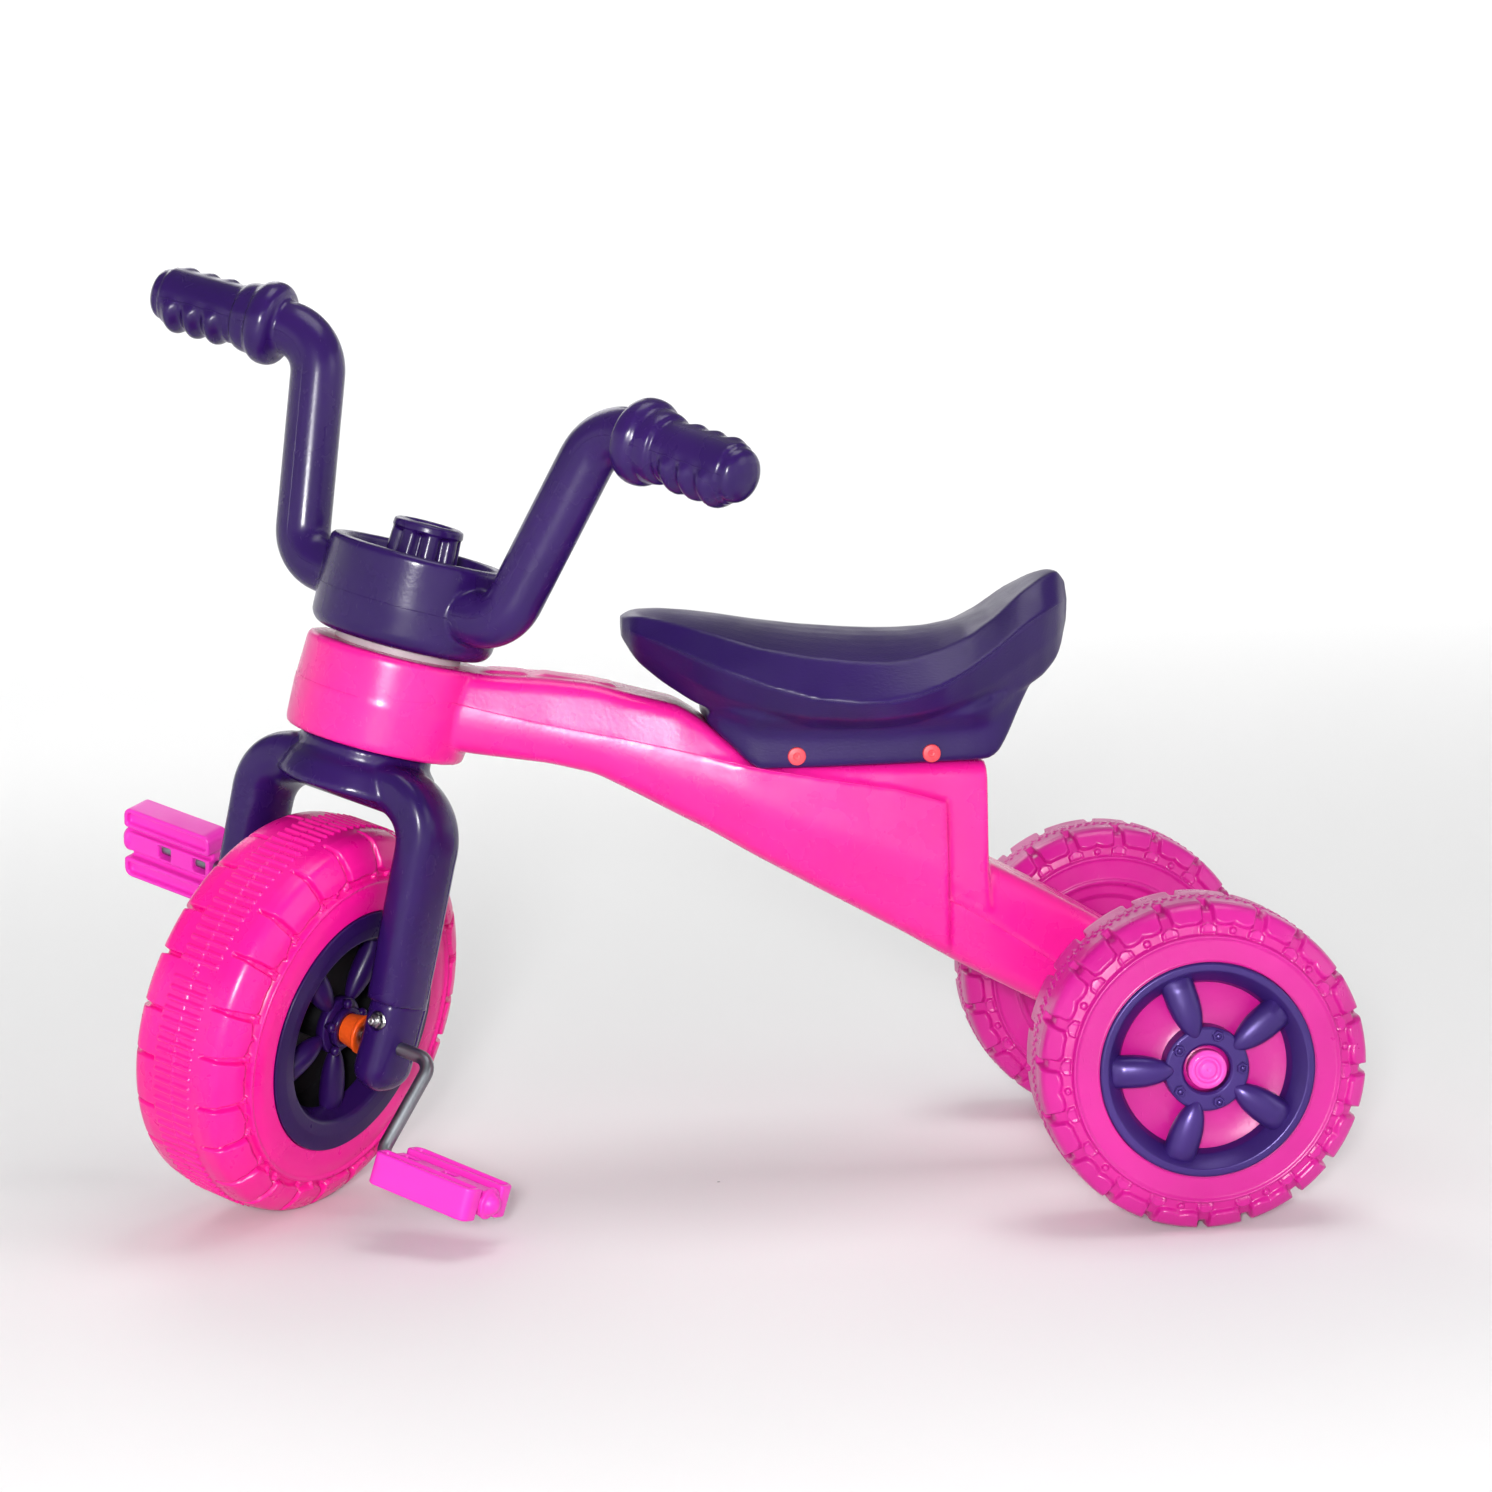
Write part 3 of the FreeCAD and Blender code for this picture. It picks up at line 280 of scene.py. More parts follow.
def joined(shells):
    verts, faces, base = [], [], 0
    for shell_verts, shell_faces in shells:
        verts.append(shell_verts)
        faces += [[base + index for index in face] for face in shell_faces]
        base += len(shell_verts)
    return np.vstack(verts), faces


# ---- pieces
def blank(name, shells):
    """An object from closed shells in millimetres, still in their own frame."""
    verts, faces = joined(shells)
    mesh = bpy.data.meshes.new(name)
    mesh.from_pydata((verts * MM).tolist(), [], faces)
    cleaned = bmesh.new()
    cleaned.from_mesh(mesh)
    bmesh.ops.remove_doubles(cleaned, verts=cleaned.verts, dist=0.01 * MM)
    bmesh.ops.recalc_face_normals(cleaned, faces=cleaned.faces)
    cleaned.to_mesh(mesh)
    cleaned.free()
    obj = bpy.data.objects.new(name, mesh)
    bpy.context.scene.collection.objects.link(obj)
    return obj


def piece(
    name, shells, place, body, slot, stands_for=(), voxel=0.0, ease=0, sharp=None, holes=(),
):
    """One object from closed shells; voxel merges them into one skin, holes are cut from it."""
    obj = blank(name, shells)
    cutter = blank("cutter", holes) if holes else None
    if cutter:
        cut = obj.modifiers.new("cut", "BOOLEAN")
        cut.operation = "DIFFERENCE"
        cut.solver = "EXACT"
        cut.object = cutter
    if voxel:
        remesh = obj.modifiers.new("skin", "REMESH")
        remesh.mode = "VOXEL"
        remesh.voxel_size = voxel * MM
        if ease:
            smooth = obj.modifiers.new("ease", "SMOOTH")
            smooth.factor = 0.5
            smooth.iterations = ease
    if obj.modifiers:
        graph = bpy.context.evaluated_depsgraph_get()
        merged = bpy.data.meshes.new_from_object(obj.evaluated_get(graph))
        obj.modifiers.clear()
        obj.data = merged
    if cutter:
        bpy.data.objects.remove(cutter)
    obj.data.shade_smooth()
    if sharp is not None:
        obj.data.set_sharp_from_angle(angle=math.radians(sharp))
    obj.data.transform(place)
    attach(obj, body)
    if stands_for:
        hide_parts(*stands_for)
    obj.data.materials.clear()
    obj.data.materials.append(MATERIALS[slot])
    return obj


def seam(name, line, on, place, slot, body, radius=0.35, sink=0.12):
    """A thin parting line laid on a piece's surface along points in its own millimetres."""
    mesh = on.data
    tree = BVHTree.FromPolygons(
        [v.co[:] for v in mesh.vertices], [p.vertices[:] for p in mesh.polygons],
    )
    found = [tree.find_nearest(place @ (Vector(point) * MM)) for point in np.asarray(line, float)]
    spots = np.array([hit[0] for hit in found]) / MM
    normals = np.array([hit[1] for hit in found])
    for _ in range(2):
        spots[1:-1] = (spots[:-2] + spots[1:-1] * 2 + spots[2:]) / 4
        normals[1:-1] = (normals[:-2] + normals[1:-1] + normals[2:]) / 3
    tangent = np.gradient(spots, axis=0)
    side = np.cross(tangent, normals)
    side /= np.linalg.norm(side, axis=1)[:, None] + 1e-9
    normals = np.cross(side, tangent)
    normals /= np.linalg.norm(normals, axis=1)[:, None] + 1e-9
    reach = np.full(len(spots), radius)
    reach[[0, -1]] = 0.05
    angle = np.linspace(0, TAU, 6, endpoint=False)
    points = (
        (spots - normals * sink)[:, None]
        + normals[:, None] * reach[:, None, None] * np.sin(angle)[None, :, None]
        + side[:, None] * reach[:, None, None] * np.cos(angle)[None, :, None]
    )
    return piece(name, [rings(points)], Matrix(), body, slot)


# ---- materials
ALBEDO = 0.76


def linear(rgb):
    """Colour values as seen in full light, turned into a base colour."""
    parts = [((c / 255 + 0.055) / 1.055) ** 2.4 if c > 10 else c / 255 / 12.92 for c in rgb]
    return [ALBEDO * part for part in parts] + [1.0]


def plastic(name, colour, shade, rough, glint=0.4, grain=0.0, scratch=0.0, soft=0.05, metallic=0.0):
    """Moulded plastic: faint colour drift, uneven gloss, orange peel and fine scratches."""
    material = bpy.data.materials.new(name)
    material.use_nodes = True
    nodes, links = material.node_tree.nodes, material.node_tree.links
    shader = nodes["Principled BSDF"]
    shader.inputs["Metallic"].default_value = metallic
    shader.inputs["IOR"].default_value = 1.48
    shader.inputs["Specular IOR Level"].default_value = glint
    if soft:
        shader.inputs["Subsurface Weight"].default_value = soft
        shader.inputs["Subsurface Radius"].default_value = (0.004, 0.002, 0.003)
    where = nodes.new("ShaderNodeTexCoord")

    def mapped(scale, spin=(0, 0, 0)):
        mapping = nodes.new("ShaderNodeMapping")
        mapping.inputs["Scale"].default_value = scale
        mapping.inputs["Rotation"].default_value = spin
        links.new(where.outputs["Object"], mapping.inputs["Vector"])
        return mapping.outputs["Vector"]

    def noise(scale, detail, source=None):
        texture = nodes.new("ShaderNodeTexNoise")
        texture.inputs["Scale"].default_value = scale
        texture.inputs["Detail"].default_value = detail
        links.new(source or where.outputs["Object"], texture.inputs["Vector"])
        return texture.outputs["Fac"]

    def remapped(value, *limits):
        node = nodes.new("ShaderNodeMapRange")
        for name, number in zip(("From Min", "From Max", "To Min", "To Max"), limits):
            node.inputs[name].default_value = number
        links.new(value, node.inputs["Value"])
        return node.outputs["Result"]

    def mixed(kind, a, b):
        node = nodes.new("ShaderNodeMath")
        node.operation = kind
        links.new(a, node.inputs[0])
        if isinstance(b, float):
            node.inputs[1].default_value = b
        else:
            links.new(b, node.inputs[1])
        return node.outputs["Value"]

    def bump(strength, distance, height, under=None):
        node = nodes.new("ShaderNodeBump")
        node.inputs["Strength"].default_value = strength
        node.inputs["Distance"].default_value = distance
        links.new(height, node.inputs["Height"])
        if under:
            links.new(under.outputs["Normal"], node.inputs["Normal"])
        return node

    ramp = nodes.new("ShaderNodeValToRGB")
    for index, position, tone in ((0, 0.35, shade), (1, 0.65, colour)):
        ramp.color_ramp.elements[index].position = position
        ramp.color_ramp.elements[index].color = linear(tone)
    links.new(noise(14.0, 2.0), ramp.inputs["Fac"])
    links.new(ramp.outputs["Color"], shader.inputs["Base Color"])
    cloudy = remapped(noise(45.0, 4.0), 0.3, 0.7, rough[0], rough[1])
    streaks = (((1.0, 14.0, 3.0), (0.3, 0.2, 0.5)), ((12.0, 1.0, 2.0), (0.1, 0.7, 0.2)))
    marks = mixed("MAXIMUM", *(
        remapped(noise(60.0, 2.0, mapped(*streak)), 0.66, 0.74, 0.0, 1.0) for streak in streaks
    ))
    worn = mixed("MULTIPLY", marks, 0.03)
    links.new(mixed("ADD", cloudy, worn), shader.inputs["Roughness"])
    peel = bump(0.12, 0.0004, noise(420.0, 3.0))
    last = bump(scratch, 0.00012, marks, peel)
    last.invert = True
    if grain:
        skin = nodes.new("ShaderNodeTexVoronoi")
        skin.feature = "DISTANCE_TO_EDGE"
        skin.inputs["Scale"].default_value = 500.0
        links.new(mapped((1.0, 0.45, 1.0)), skin.inputs["Vector"])
        last = bump(grain, 0.0003, skin.outputs["Distance"], last)
    links.new(last.outputs["Normal"], shader.inputs["Normal"])
    return material


FINISHES = {
    # slot: colour, its shade, roughness from and to, and what differs from plain plastic
    "frame_pink": ((250, 30, 158), (244, 23, 150), (0.22, 0.33), {"glint": 0.48}),
    "seat_purple": ((46, 20, 92), (38, 15, 80), (0.30, 0.42), {"glint": 0.3, "grain": 0.30}),
    "plug_coral": ((240, 76, 90), (228, 66, 80), (0.35, 0.5), {}),
    "steel": ((226, 226, 226), (190, 190, 190), (0.18, 0.34), {"metallic": 1.0, "soft": 0.0}),
    "hub_dark": ((10, 8, 14), (6, 5, 9), (0.5, 0.65), {"soft": 0.0}),
    "cap_pink": ((255, 84, 200), (255, 72, 192), (0.14, 0.24), {"glint": 0.5}),
    "bush_orange": ((255, 98, 30), (250, 84, 22), (0.3, 0.42), {}),
    "bush_pale": ((216, 198, 204), (196, 176, 184), (0.4, 0.5), {}),
    "fork_purple": ((48, 18, 92), (40, 13, 82), (0.20, 0.30), {"glint": 0.32}),
    "bar_purple": ((48, 19, 92), (40, 14, 82), (0.20, 0.30), {"glint": 0.34}),
    "front_tyre_pink": ((255, 18, 156), (248, 12, 148), (0.24, 0.34), {"glint": 0.42}),
    "crank_steel": ((170, 174, 180), (132, 136, 144), (0.3, 0.48), {"metallic": 1.0, "soft": 0.0}),
    "ring_purple": ((44, 14, 84), (36, 10, 73), (0.26, 0.38), {"glint": 0.26}),
    "pedal_pink": ((255, 56, 206), (252, 46, 196), (0.3, 0.45), {}),
    "rear_tyre_pink": ((218, 26, 154), (202, 18, 140), (0.26, 0.4), {"glint": 0.5, "scratch": 0.5}),
    "cover_purple": ((66, 36, 126), (54, 27, 110), (0.28, 0.40), {"glint": 0.6, "metallic": 0.35}),
}
MATERIALS = {
    slot: plastic(slot, colour, shade, rough, **rest)
    for slot, (colour, shade, rough, rest) in FINISHES.items()
}
for node_name, node in frame["nodes"].items():
    entry = next(part for part in frame["record"]["subparts"] if part["node"] == node_name)
    node.data.materials.clear()
    node.data.materials.append(MATERIALS[entry["material_slot"]])


# ---- tyres
def smoothstep(value):
    value = np.clip(value, 0, 1)
    return value * value * (3 - 2 * value)


def tread_tyre(half_profile, inside, steps, depth, fine, coarse):
    """A tyre whose outer skin is pushed inwards by depth(angle, place along it, radius)."""
    total = lengths(half_profile)[-1]
    crown = 15.5
    places = np.concatenate([np.arange(0, crown, fine), np.arange(crown, total, coarse), [total]])
    right = at_lengths(half_profile, places)
    signed = np.concatenate([-places[:0:-1], places])
    outer = np.vstack([right[:0:-1] * (-1, 1), right])
    tangent = np.gradient(outer, axis=0)
    tangent /= np.linalg.norm(tangent, axis=1)[:, None]
    normal = np.stack([-tangent[:, 1], tangent[:, 0]], 1)
    angle = np.linspace(0, TAU, steps, endpoint=False)[:, None]
    push = depth(angle, signed[None, :], outer[None, :, 1])
    x = outer[None, :, 0] - normal[None, :, 0] * push
    r = outer[None, :, 1] - normal[None, :, 1] * push
    x = np.hstack([x, np.broadcast_to(inside[:, 0], (steps, len(inside)))])
    r = np.hstack([r, np.broadcast_to(inside[:, 1], (steps, len(inside)))])
    points = np.stack([x, -r * np.sin(angle), r * np.cos(angle)], 2)
    return points.reshape(-1, 3), grid_faces(steps, points.shape[1], True, True)


def comb_depth(angle, place, radius, ribs, reach, thick, high, near=0.0, far=0.22):
    """Fine bars across the crown, meeting at a parting line that zigzags slightly."""
    pitch = TAU / ribs
    v = ((angle / pitch + np.where(place < 0, far, near)) % 1 - 0.5) * pitch * radius
    off = np.maximum(np.abs(place) - (reach - thick), 0)
    bar = smoothstep((thick + 0.3 - np.hypot(off, v)) / 0.6)
    wander = 0.35 * np.sin(angle * ribs)
    line = np.exp(-(((place - wander) / 0.5) ** 2))
    nodule = np.exp(-((place / 1.1) ** 2) - (v / 1.0) ** 2)
    return -np.maximum(high * bar, 0.7 * high * np.maximum(line, nodule))


def lugs(angle, place, radius, pair, wide, near, far):
    """Lugs in pairs, a wide and a narrow one, in degrees; near and far are the first wide
    lug's start on the +x and the -x side.  Gives the distances to the nearest groove and to
    the lug's middle, half the lug's length, and whether it is a wide one."""
    past = (angle - np.radians(np.where(place < 0, far, near))) % math.radians(pair)
    is_wide = past < math.radians(wide)
    past = np.where(is_wide, past, past - math.radians(wide))
    span = np.radians(np.where(is_wide, wide, pair - wide))
    groove = np.minimum(past, span - past) * radius
    return groove, np.abs(past - span / 2) * radius, span / 2 * radius, is_wide


GATE = math.radians(76.5)  # where the moulding mark interrupts the front tyre's comb


def front_depth(angle, place, radius):
    a = np.abs(place)
    g, middle, _, is_wide = lugs(angle, place, radius, 30.0, 15.8, 8.2, 14.0)
    half_groove = 1.05 + 1.0 * smoothstep((a - 20) / 18)
    inner_end = np.where(place < 0, 13.0, 16.2)
    groove = smoothstep((half_groove + 0.5 - g) / 1.0) * smoothstep((a - inner_end) / 1.0)
    groove_depth = 3.4 + 0.9 * smoothstep((a - 30) / 3)
    notched = 45.2 - 0.5 * np.exp(-((middle / 4.5) ** 2))
    pointed = 43.8 + 1.6 * np.maximum(0, 1 - middle / 8)
    end = np.where(is_wide, notched, pointed) - 3.2 * np.maximum(0, 1 - g / 6) ** 2
    beyond = smoothstep((a - end) / 1.6)
    depth = np.maximum(groove * groove_depth, beyond * 4.0)
    stem = 1.2 + 1.2 * smoothstep((a - 46.8) / 0.9)
    nub_ends = smoothstep((a - 44.0) / 0.9) * smoothstep((49.3 - a) / 0.8)
    nub = smoothstep((stem + 0.3 - g) / 0.7) * nub_ends
    stud = np.where(is_wide, 0.0, smoothstep((1.9 - np.hypot(middle, a - 47.3)) / 0.7))
    depth = depth - np.maximum(nub * 2.5, stud * 2.3)
    bead = np.exp(-(((a - 50.7) / 1.0) ** 2))
    wall = smoothstep((a - 48.9) / 1.0)
    depth = depth * (1 - wall) + wall * (1.7 - bead * 1.9)
    comb = comb_depth(angle, place, radius, 120, 12.3, 1.1, 1.4, 0.05, -0.03)
    from_gate = np.abs(angle - GATE) * radius
    comb = comb * smoothstep((from_gate - 2.6) / 0.6)
    gate = np.hypot(place, from_gate)
    comb = comb - 0.9 * smoothstep((1.9 - gate) / 0.6) + 1.3 * smoothstep((0.9 - gate) / 0.5)
    return np.where(a < 12.9, comb * smoothstep((12.85 - a) / 0.4), depth)


def rear_depth(angle, place, radius):
    a = np.abs(place)
    g, middle, half, is_wide = lugs(angle, place, radius, 36.0, 20.1, 14.3, 21.3)
    half_groove = 2.1 + 1.1 * smoothstep((a - 17) / 10)
    ramp = smoothstep((a - 7.0) / 3.6)
    groove = smoothstep((half_groove + 0.7 - g) / 1.4) * ramp
    spread = middle / half
    lobes = 31.7 + 1.9 * np.sin(np.clip(spread, 0, 0.8) / 0.8 * math.pi)
    lobed = lobes - 4.2 * np.clip(spread - 0.68, 0, 1) / 0.32
    blunt = 33.6 - 5.2 * np.clip(spread - 0.45, 0, 1) / 0.55
    end = np.where(is_wide, lobed, blunt)
    beyond = smoothstep((a - end) / 1.5)
    depth = np.maximum(groove * 4.0, beyond * 3.6)
    roof = np.clip(0.8 + (a - 33.2) * 1.1, 0, 4.4)
    house_ends = smoothstep((a - 32.8) / 0.8) * smoothstep((39.9 - a) / 0.7)
    house = smoothstep((roof + 0.3 - g) / 0.7) * house_ends
    stud = np.where(is_wide, smoothstep((2.1 - np.hypot(middle, a - 37.6)) / 0.7), 0.0)
    depth = depth - np.maximum(house * 2.3, stud * 2.2)
    wall = smoothstep((a - 40.2) / 0.9)
    bead = np.exp(-(((a - 42.0) / 1.0) ** 2))
    lip = smoothstep((a - 54.6) / 1.2)
    depth = depth * (1 - wall) + wall * (1.7 - bead * 1.7 - lip * 1.0)
    comb = comb_depth(angle, place, radius, 110, 5.6, 0.9, 0.8)
    return np.where(a < 7.4, comb * smoothstep((7.3 - a) / 0.7), depth)


def make_front_tyre():
    half = rounded([
        (0, 112), (18.9, 112, 12), (27, 110.4, 9), (34, 100.5, 12), (38.9, 82, 30),
        (38.9, 71.2),
    ], closed=False, segments=8)
    inside = np.array([(34.9, 71.0), (34.9, 56.0), (0.0, 55.0), (-34.9, 56.0), (-34.9, 71.0)])
    shell = tread_tyre(half, inside, 1320, front_depth, 0.5, 0.8)
    piece("tyre_front", [shell], WHEEL, "front_wheel", "front_tyre_pink", ["front_tyre"])


def make_rear_tyres():
    half = rounded([
        (0, 89), (16.9, 89.3, 9), (24, 88.4, 8), (30.2, 79.5, 8), (31.9, 71, 20), (31.9, 58.9),
    ], closed=False, segments=8)
    inside = rounded([
        (31.6, 58.8, 0.5), (18, 58.8), (18, 30), (18, 14.2), (24, 12), (24, 7.1),
        (-28, 7.1), (-28, 19, 1.5), (-20.5, 23.5, 2), (-20.5, 34, 1.5), (-22, 36, 1.5),
        (-22, 46, 2), (-24.5, 49, 2), (-24.5, 54, 3), (-31, 59, 2),
    ], closed=False, segments=4)
    for side, place in REAR.items():
        shell = tread_tyre(half, inside, 1000, rear_depth, 0.5, 0.7)
        body = f"rear_wheel_{side}"
        piece(f"tyre_rear_{side}", [shell], place, body, "rear_tyre_pink", [f"rear_tyre_{side}"])


# ---- wheel rings, covers and hubs
FRONT_SPOKE_TURN = 52.0
REAR_SPOKE_TURN = 18.0


def bullet(inner, outer, half_width, base, rise, lift=0.0):
    """A rounded spoke along Z standing out along X: pointed inboard, blunt at the rim."""
    t = np.concatenate([
        0.62 * (1 - np.cos(np.linspace(0.10, math.pi / 2, 18))), np.linspace(0.66, 0.93, 8),
        0.93 + 0.07 * np.sin(np.linspace(0.2, math.pi / 2, 8)),
    ])
    nose = np.clip(1 - ((0.66 - np.minimum(t, 0.66)) / 0.66) ** 2.1, 0.012, 1) ** 0.62
    end = np.sqrt(np.clip(1 - ((np.maximum(t, 0.93) - 0.93) / 0.0705) ** 2, 0.0, 1))
    z = inner + (outer - inner) * t
    width = half_width * nose * (0.66 + 0.34 * end)
    slant = 1 - 0.30 * np.clip((t - 0.80) / 0.2, 0, 1)
    height = rise * nose * slant * (0.35 + 0.65 * end)
    count = len(t)
    return swept(
        np.stack([base + lift * (1 - t), np.zeros(count), z], 1),
        np.tile((0.0, 1.0, 0.0), (count, 1)), np.tile((1.0, 0.0, 0.0), (count, 1)),
        width, height, 2.1, 36,
    )


def make_front_rings():
    face = 38.6
    ring = lathe([
        (face - 3.4, 56.0), (face - 3.4, 70.7), (face, 70.7, 0.8), (face + 0.2, 62.0, 6.0),
        (face - 0.4, 55.0, 2.5), (face - 2.6, 53.4, 1.2), (27.0, 50.4, 2.0), (24.0, 49.4, 0.6),
        (24, 56),
    ], 160)
    hub = lathe([(23, 8.6), (23, 16.8), (28.2, 16.8, 1.6), (29, 12.6, 0.8), (29, 8.6)], 96)
    collar = lathe([(29, 8.6), (29, 12.4), (33, 11.9, 1), (33, 8.6)], 96)
    spoke = bullet(13.0, 53.0, 7.6, 25.0, 6.6)
    post = moved(lathe([
        (26, 0.01), (26, 2), (30, 2), (30.6, 2.9, 0.5), (33, 2.9, 2),
        (34, 0.9, 1), (34, 0.01),
    ], 24), z=14.6)
    bush = lathe([
        (22.1, 4.1), (22.1, 8.4), (32, 8.6, 4), (42.2, 10.4, 1), (43.2, 11.4, 0.6),
        (44.8, 11.4, 0.6), (44.8, 4.1),
    ], 72)
    shells = [ring, hub, collar]
    for step in range(5):
        angle = 72 * step + FRONT_SPOKE_TURN
        shells += [turned(spoke, angle, "X"), turned(post, angle + 36, "X")]
    for side, place in FRONT_SIDES.items():
        ring_name, bush_name = f"front_ring_{side}", f"front_bush_{side}"
        piece(f"ring_front_{side}", shells, place, "front_wheel", "ring_purple", [ring_name])
        piece(f"bush_front_{side}", [bush], place, "front_wheel", "bush_orange", [bush_name])


def make_rear_covers():
    face = 31.9
    ring = lathe([
        (18.1, 46.6), (18.1, 58.4), (face - 0.8, 58.4, 1.0), (face, 57.2, 1.2), (face, 54.2, 1.5),
        (face - 3.6, 51.0, 3.0), (24.0, 47.4, 4.0), (19.0, 45.4, 0.8),
    ], 160)
    hub = lathe([
        (18.2, 14.4), (18.2, 23), (28.6, 23, 1.3), (29.4, 21.4, 0.8), (29.4, 14.2, 0.6),
        (28.2, 12.8, 0.4), (24.4, 12.7),
    ], 96)
    spoke = bullet(17.6, 53.4, 9.0, 23.4, 7.6, 4.8)
    levels = [(28.5, 1.0), (31.0, 1.0), (31.5, 0.86), (31.5, 0.6), (30.9, 0.5), (30.9, 0.35)]
    nut = moved(hex_post(levels, 3.3), z=18.9)
    dome = moved(lathe([(30.5, 0.01), (30.5, 1.3), (31.9, 1.2, 0.6), (32.3, 0.01)], 16), z=18.9)
    cap = lathe([
        (24.3, 4.1), (24.3, 10.5), (30.3, 10.5, 1.6), (31.6, 8.6, 0.8), (31.4, 7.4, 0.6),
        (29.9, 6.6, 0.8), (29.9, 5.4, 0.6), (31.4, 4, 1.4), (31.9, 1.6, 1), (31.6, 0.01),
        (28.8, 0.01), (28.8, 4.1),
    ], 72)
    shells = [ring, hub]
    for step in range(5):
        angle = 72 * step + REAR_SPOKE_TURN
        shells += [turned(spoke, angle, "X"), *(turned(s, angle + 36, "X") for s in (nut, dome))]
    for side, place in REAR.items():
        piece(
            f"cover_rear_{side}", shells, place, f"rear_wheel_{side}", "cover_purple",
            [f"rear_cover_{side}"], sharp=38,
        )
        piece(f"cap_{side}", [cap], place, "frame", "cap_pink", [f"axle_cap_{side}"])


# ---- fork
def make_fork():
    line = bent_path([(58, 0, 22), (58, 0, 139.5), (-58, 0, 139.5), (-58, 0, 22)], [27.5] * 2, 3.0)
    along = np.gradient(line, axis=0)
    along /= np.linalg.norm(along, axis=1)[:, None]
    side = np.stack([along[:, 2], np.zeros(len(line)), -along[:, 0]], 1)
    top = np.clip((line[:, 2] - 105) / 34, 0, 1)
    half_side = 12.5 + 2.0 * smoothstep(top)
    lean = math.radians(6.5)
    high = line[:, 2]
    line[:, 1] = 3.0 - high * math.sin(lean)
    depth_axis = np.tile((0.0, math.cos(lean), -math.sin(lean)), (len(line), 1))
    half_depth = 22.0 - 0.8 * smoothstep((60 - high) / 30)
    legs = swept(line, side, depth_axis, half_side, half_depth, 2.9, 56)
    neck = upright(lathe([
        (132, 0.01), (132, 47, 3), (146, 42, 6), (151, 37.5, 3), (158.4, 37.5, 1),
        (158.4, 0.01),
    ], 96))
    journal = upright(lathe([(150, 0.01), (150, 17), (216.8, 17), (216.8, 0.01)], 48))
    shells = [legs, moved(neck, y=-6.0), journal]
    slot = "fork_purple"
    fork = piece("fork_shell", shells, STEER, "steering", slot, ["fork"], voxel=1.5, ease=5)
    for sign, name in SIGNS:
        z = np.arange(27, 118, 2.0)
        trace = along_z(70.0 * sign, 3.0 - z * math.sin(lean) + 13.0, z)[0]
        seam(f"fork_seam_{name}", trace, fork, STEER, slot, "steering", 0.4)


def make_fork_ends():
    straight, sole = np.arange(19, -14, -3.0), -14 - 14.4 * np.sin(np.linspace(0.05, 1.5, 12))
    z = np.concatenate([[24.3, 23.6, 22.0], straight, sole])
    scale = np.sqrt(np.clip(1 - np.clip((-14 - z) / 14.5, 0, 1) ** 2, 0.004, 1))
    lip = np.where(z > 22.5, 0.6, 0.0)
    pocket = lathe([(14.6, 0.01), (14.6, 5.2, 0.6), (24, 5.9), (24, 0.01)], 48)
    for (side, place), ahead in zip(FORK_SIDES.items(), (-1.0, 1.0)):
        back = -3.0 * ahead
        shell = swept(
            *along_z(58.0, back, z), (12.1 - lip) * scale, (19.3 - lip) * scale, 2.7, 56,
        )
        middle = back - ahead * 9.0
        slit = box_shell((62.0, middle - 0.8, -9.0), (75.0, middle + 0.8, 26.0), 0.3)
        piece(
            f"fork_foot_{side}", [shell], place, "steering", "fork_purple", [f"fork_end_{side}"],
            voxel=0.8, ease=2,
            holes=[moved(turned(pocket, 90 * ahead, "Z"), x=58.0, y=back, z=13.3), slit],
        )


def make_fork_end_fittings():
    head = lathe([(-18.2, 0.01), (-18.2, 4, 0.3), (-20.4, 3.4, 0.8), (-20.6, 0.01)], 32)
    end = lathe([
        (14, 0.01), (14, 2.1), (24.6, 2.1, 0.6), (25, 1.2, 0.3), (24.6, 0.9), (24.6, 0.01),
    ], 24)
    washer = lathe([(15, 2), (15, 5, 0.2), (16.4, 5, 0.2), (16.4, 2)], 32)
    nut = hex_post([(16.0, 1.0), (20.4, 1.0), (21.0, 0.86), (21.0, 0.55)], 4.2)
    for name, pair, sharp in (("bolts", (head, end), 40), ("nuts", (washer, nut), 30)):
        shells = [
            moved(turned(shell, -90, "Z"), x=58.0 * sign, y=3.0, z=13.3)
            for sign in (-1, 1) for shell in pair
        ]
        node = f"fork_end_{name}"
        piece(f"clamp_{name}", shells, STEER, "steering", "steel", [node], sharp=sharp)


# ---- handlebar
BAR_TILT = 1.8
BAR_RADIUS = 15.6


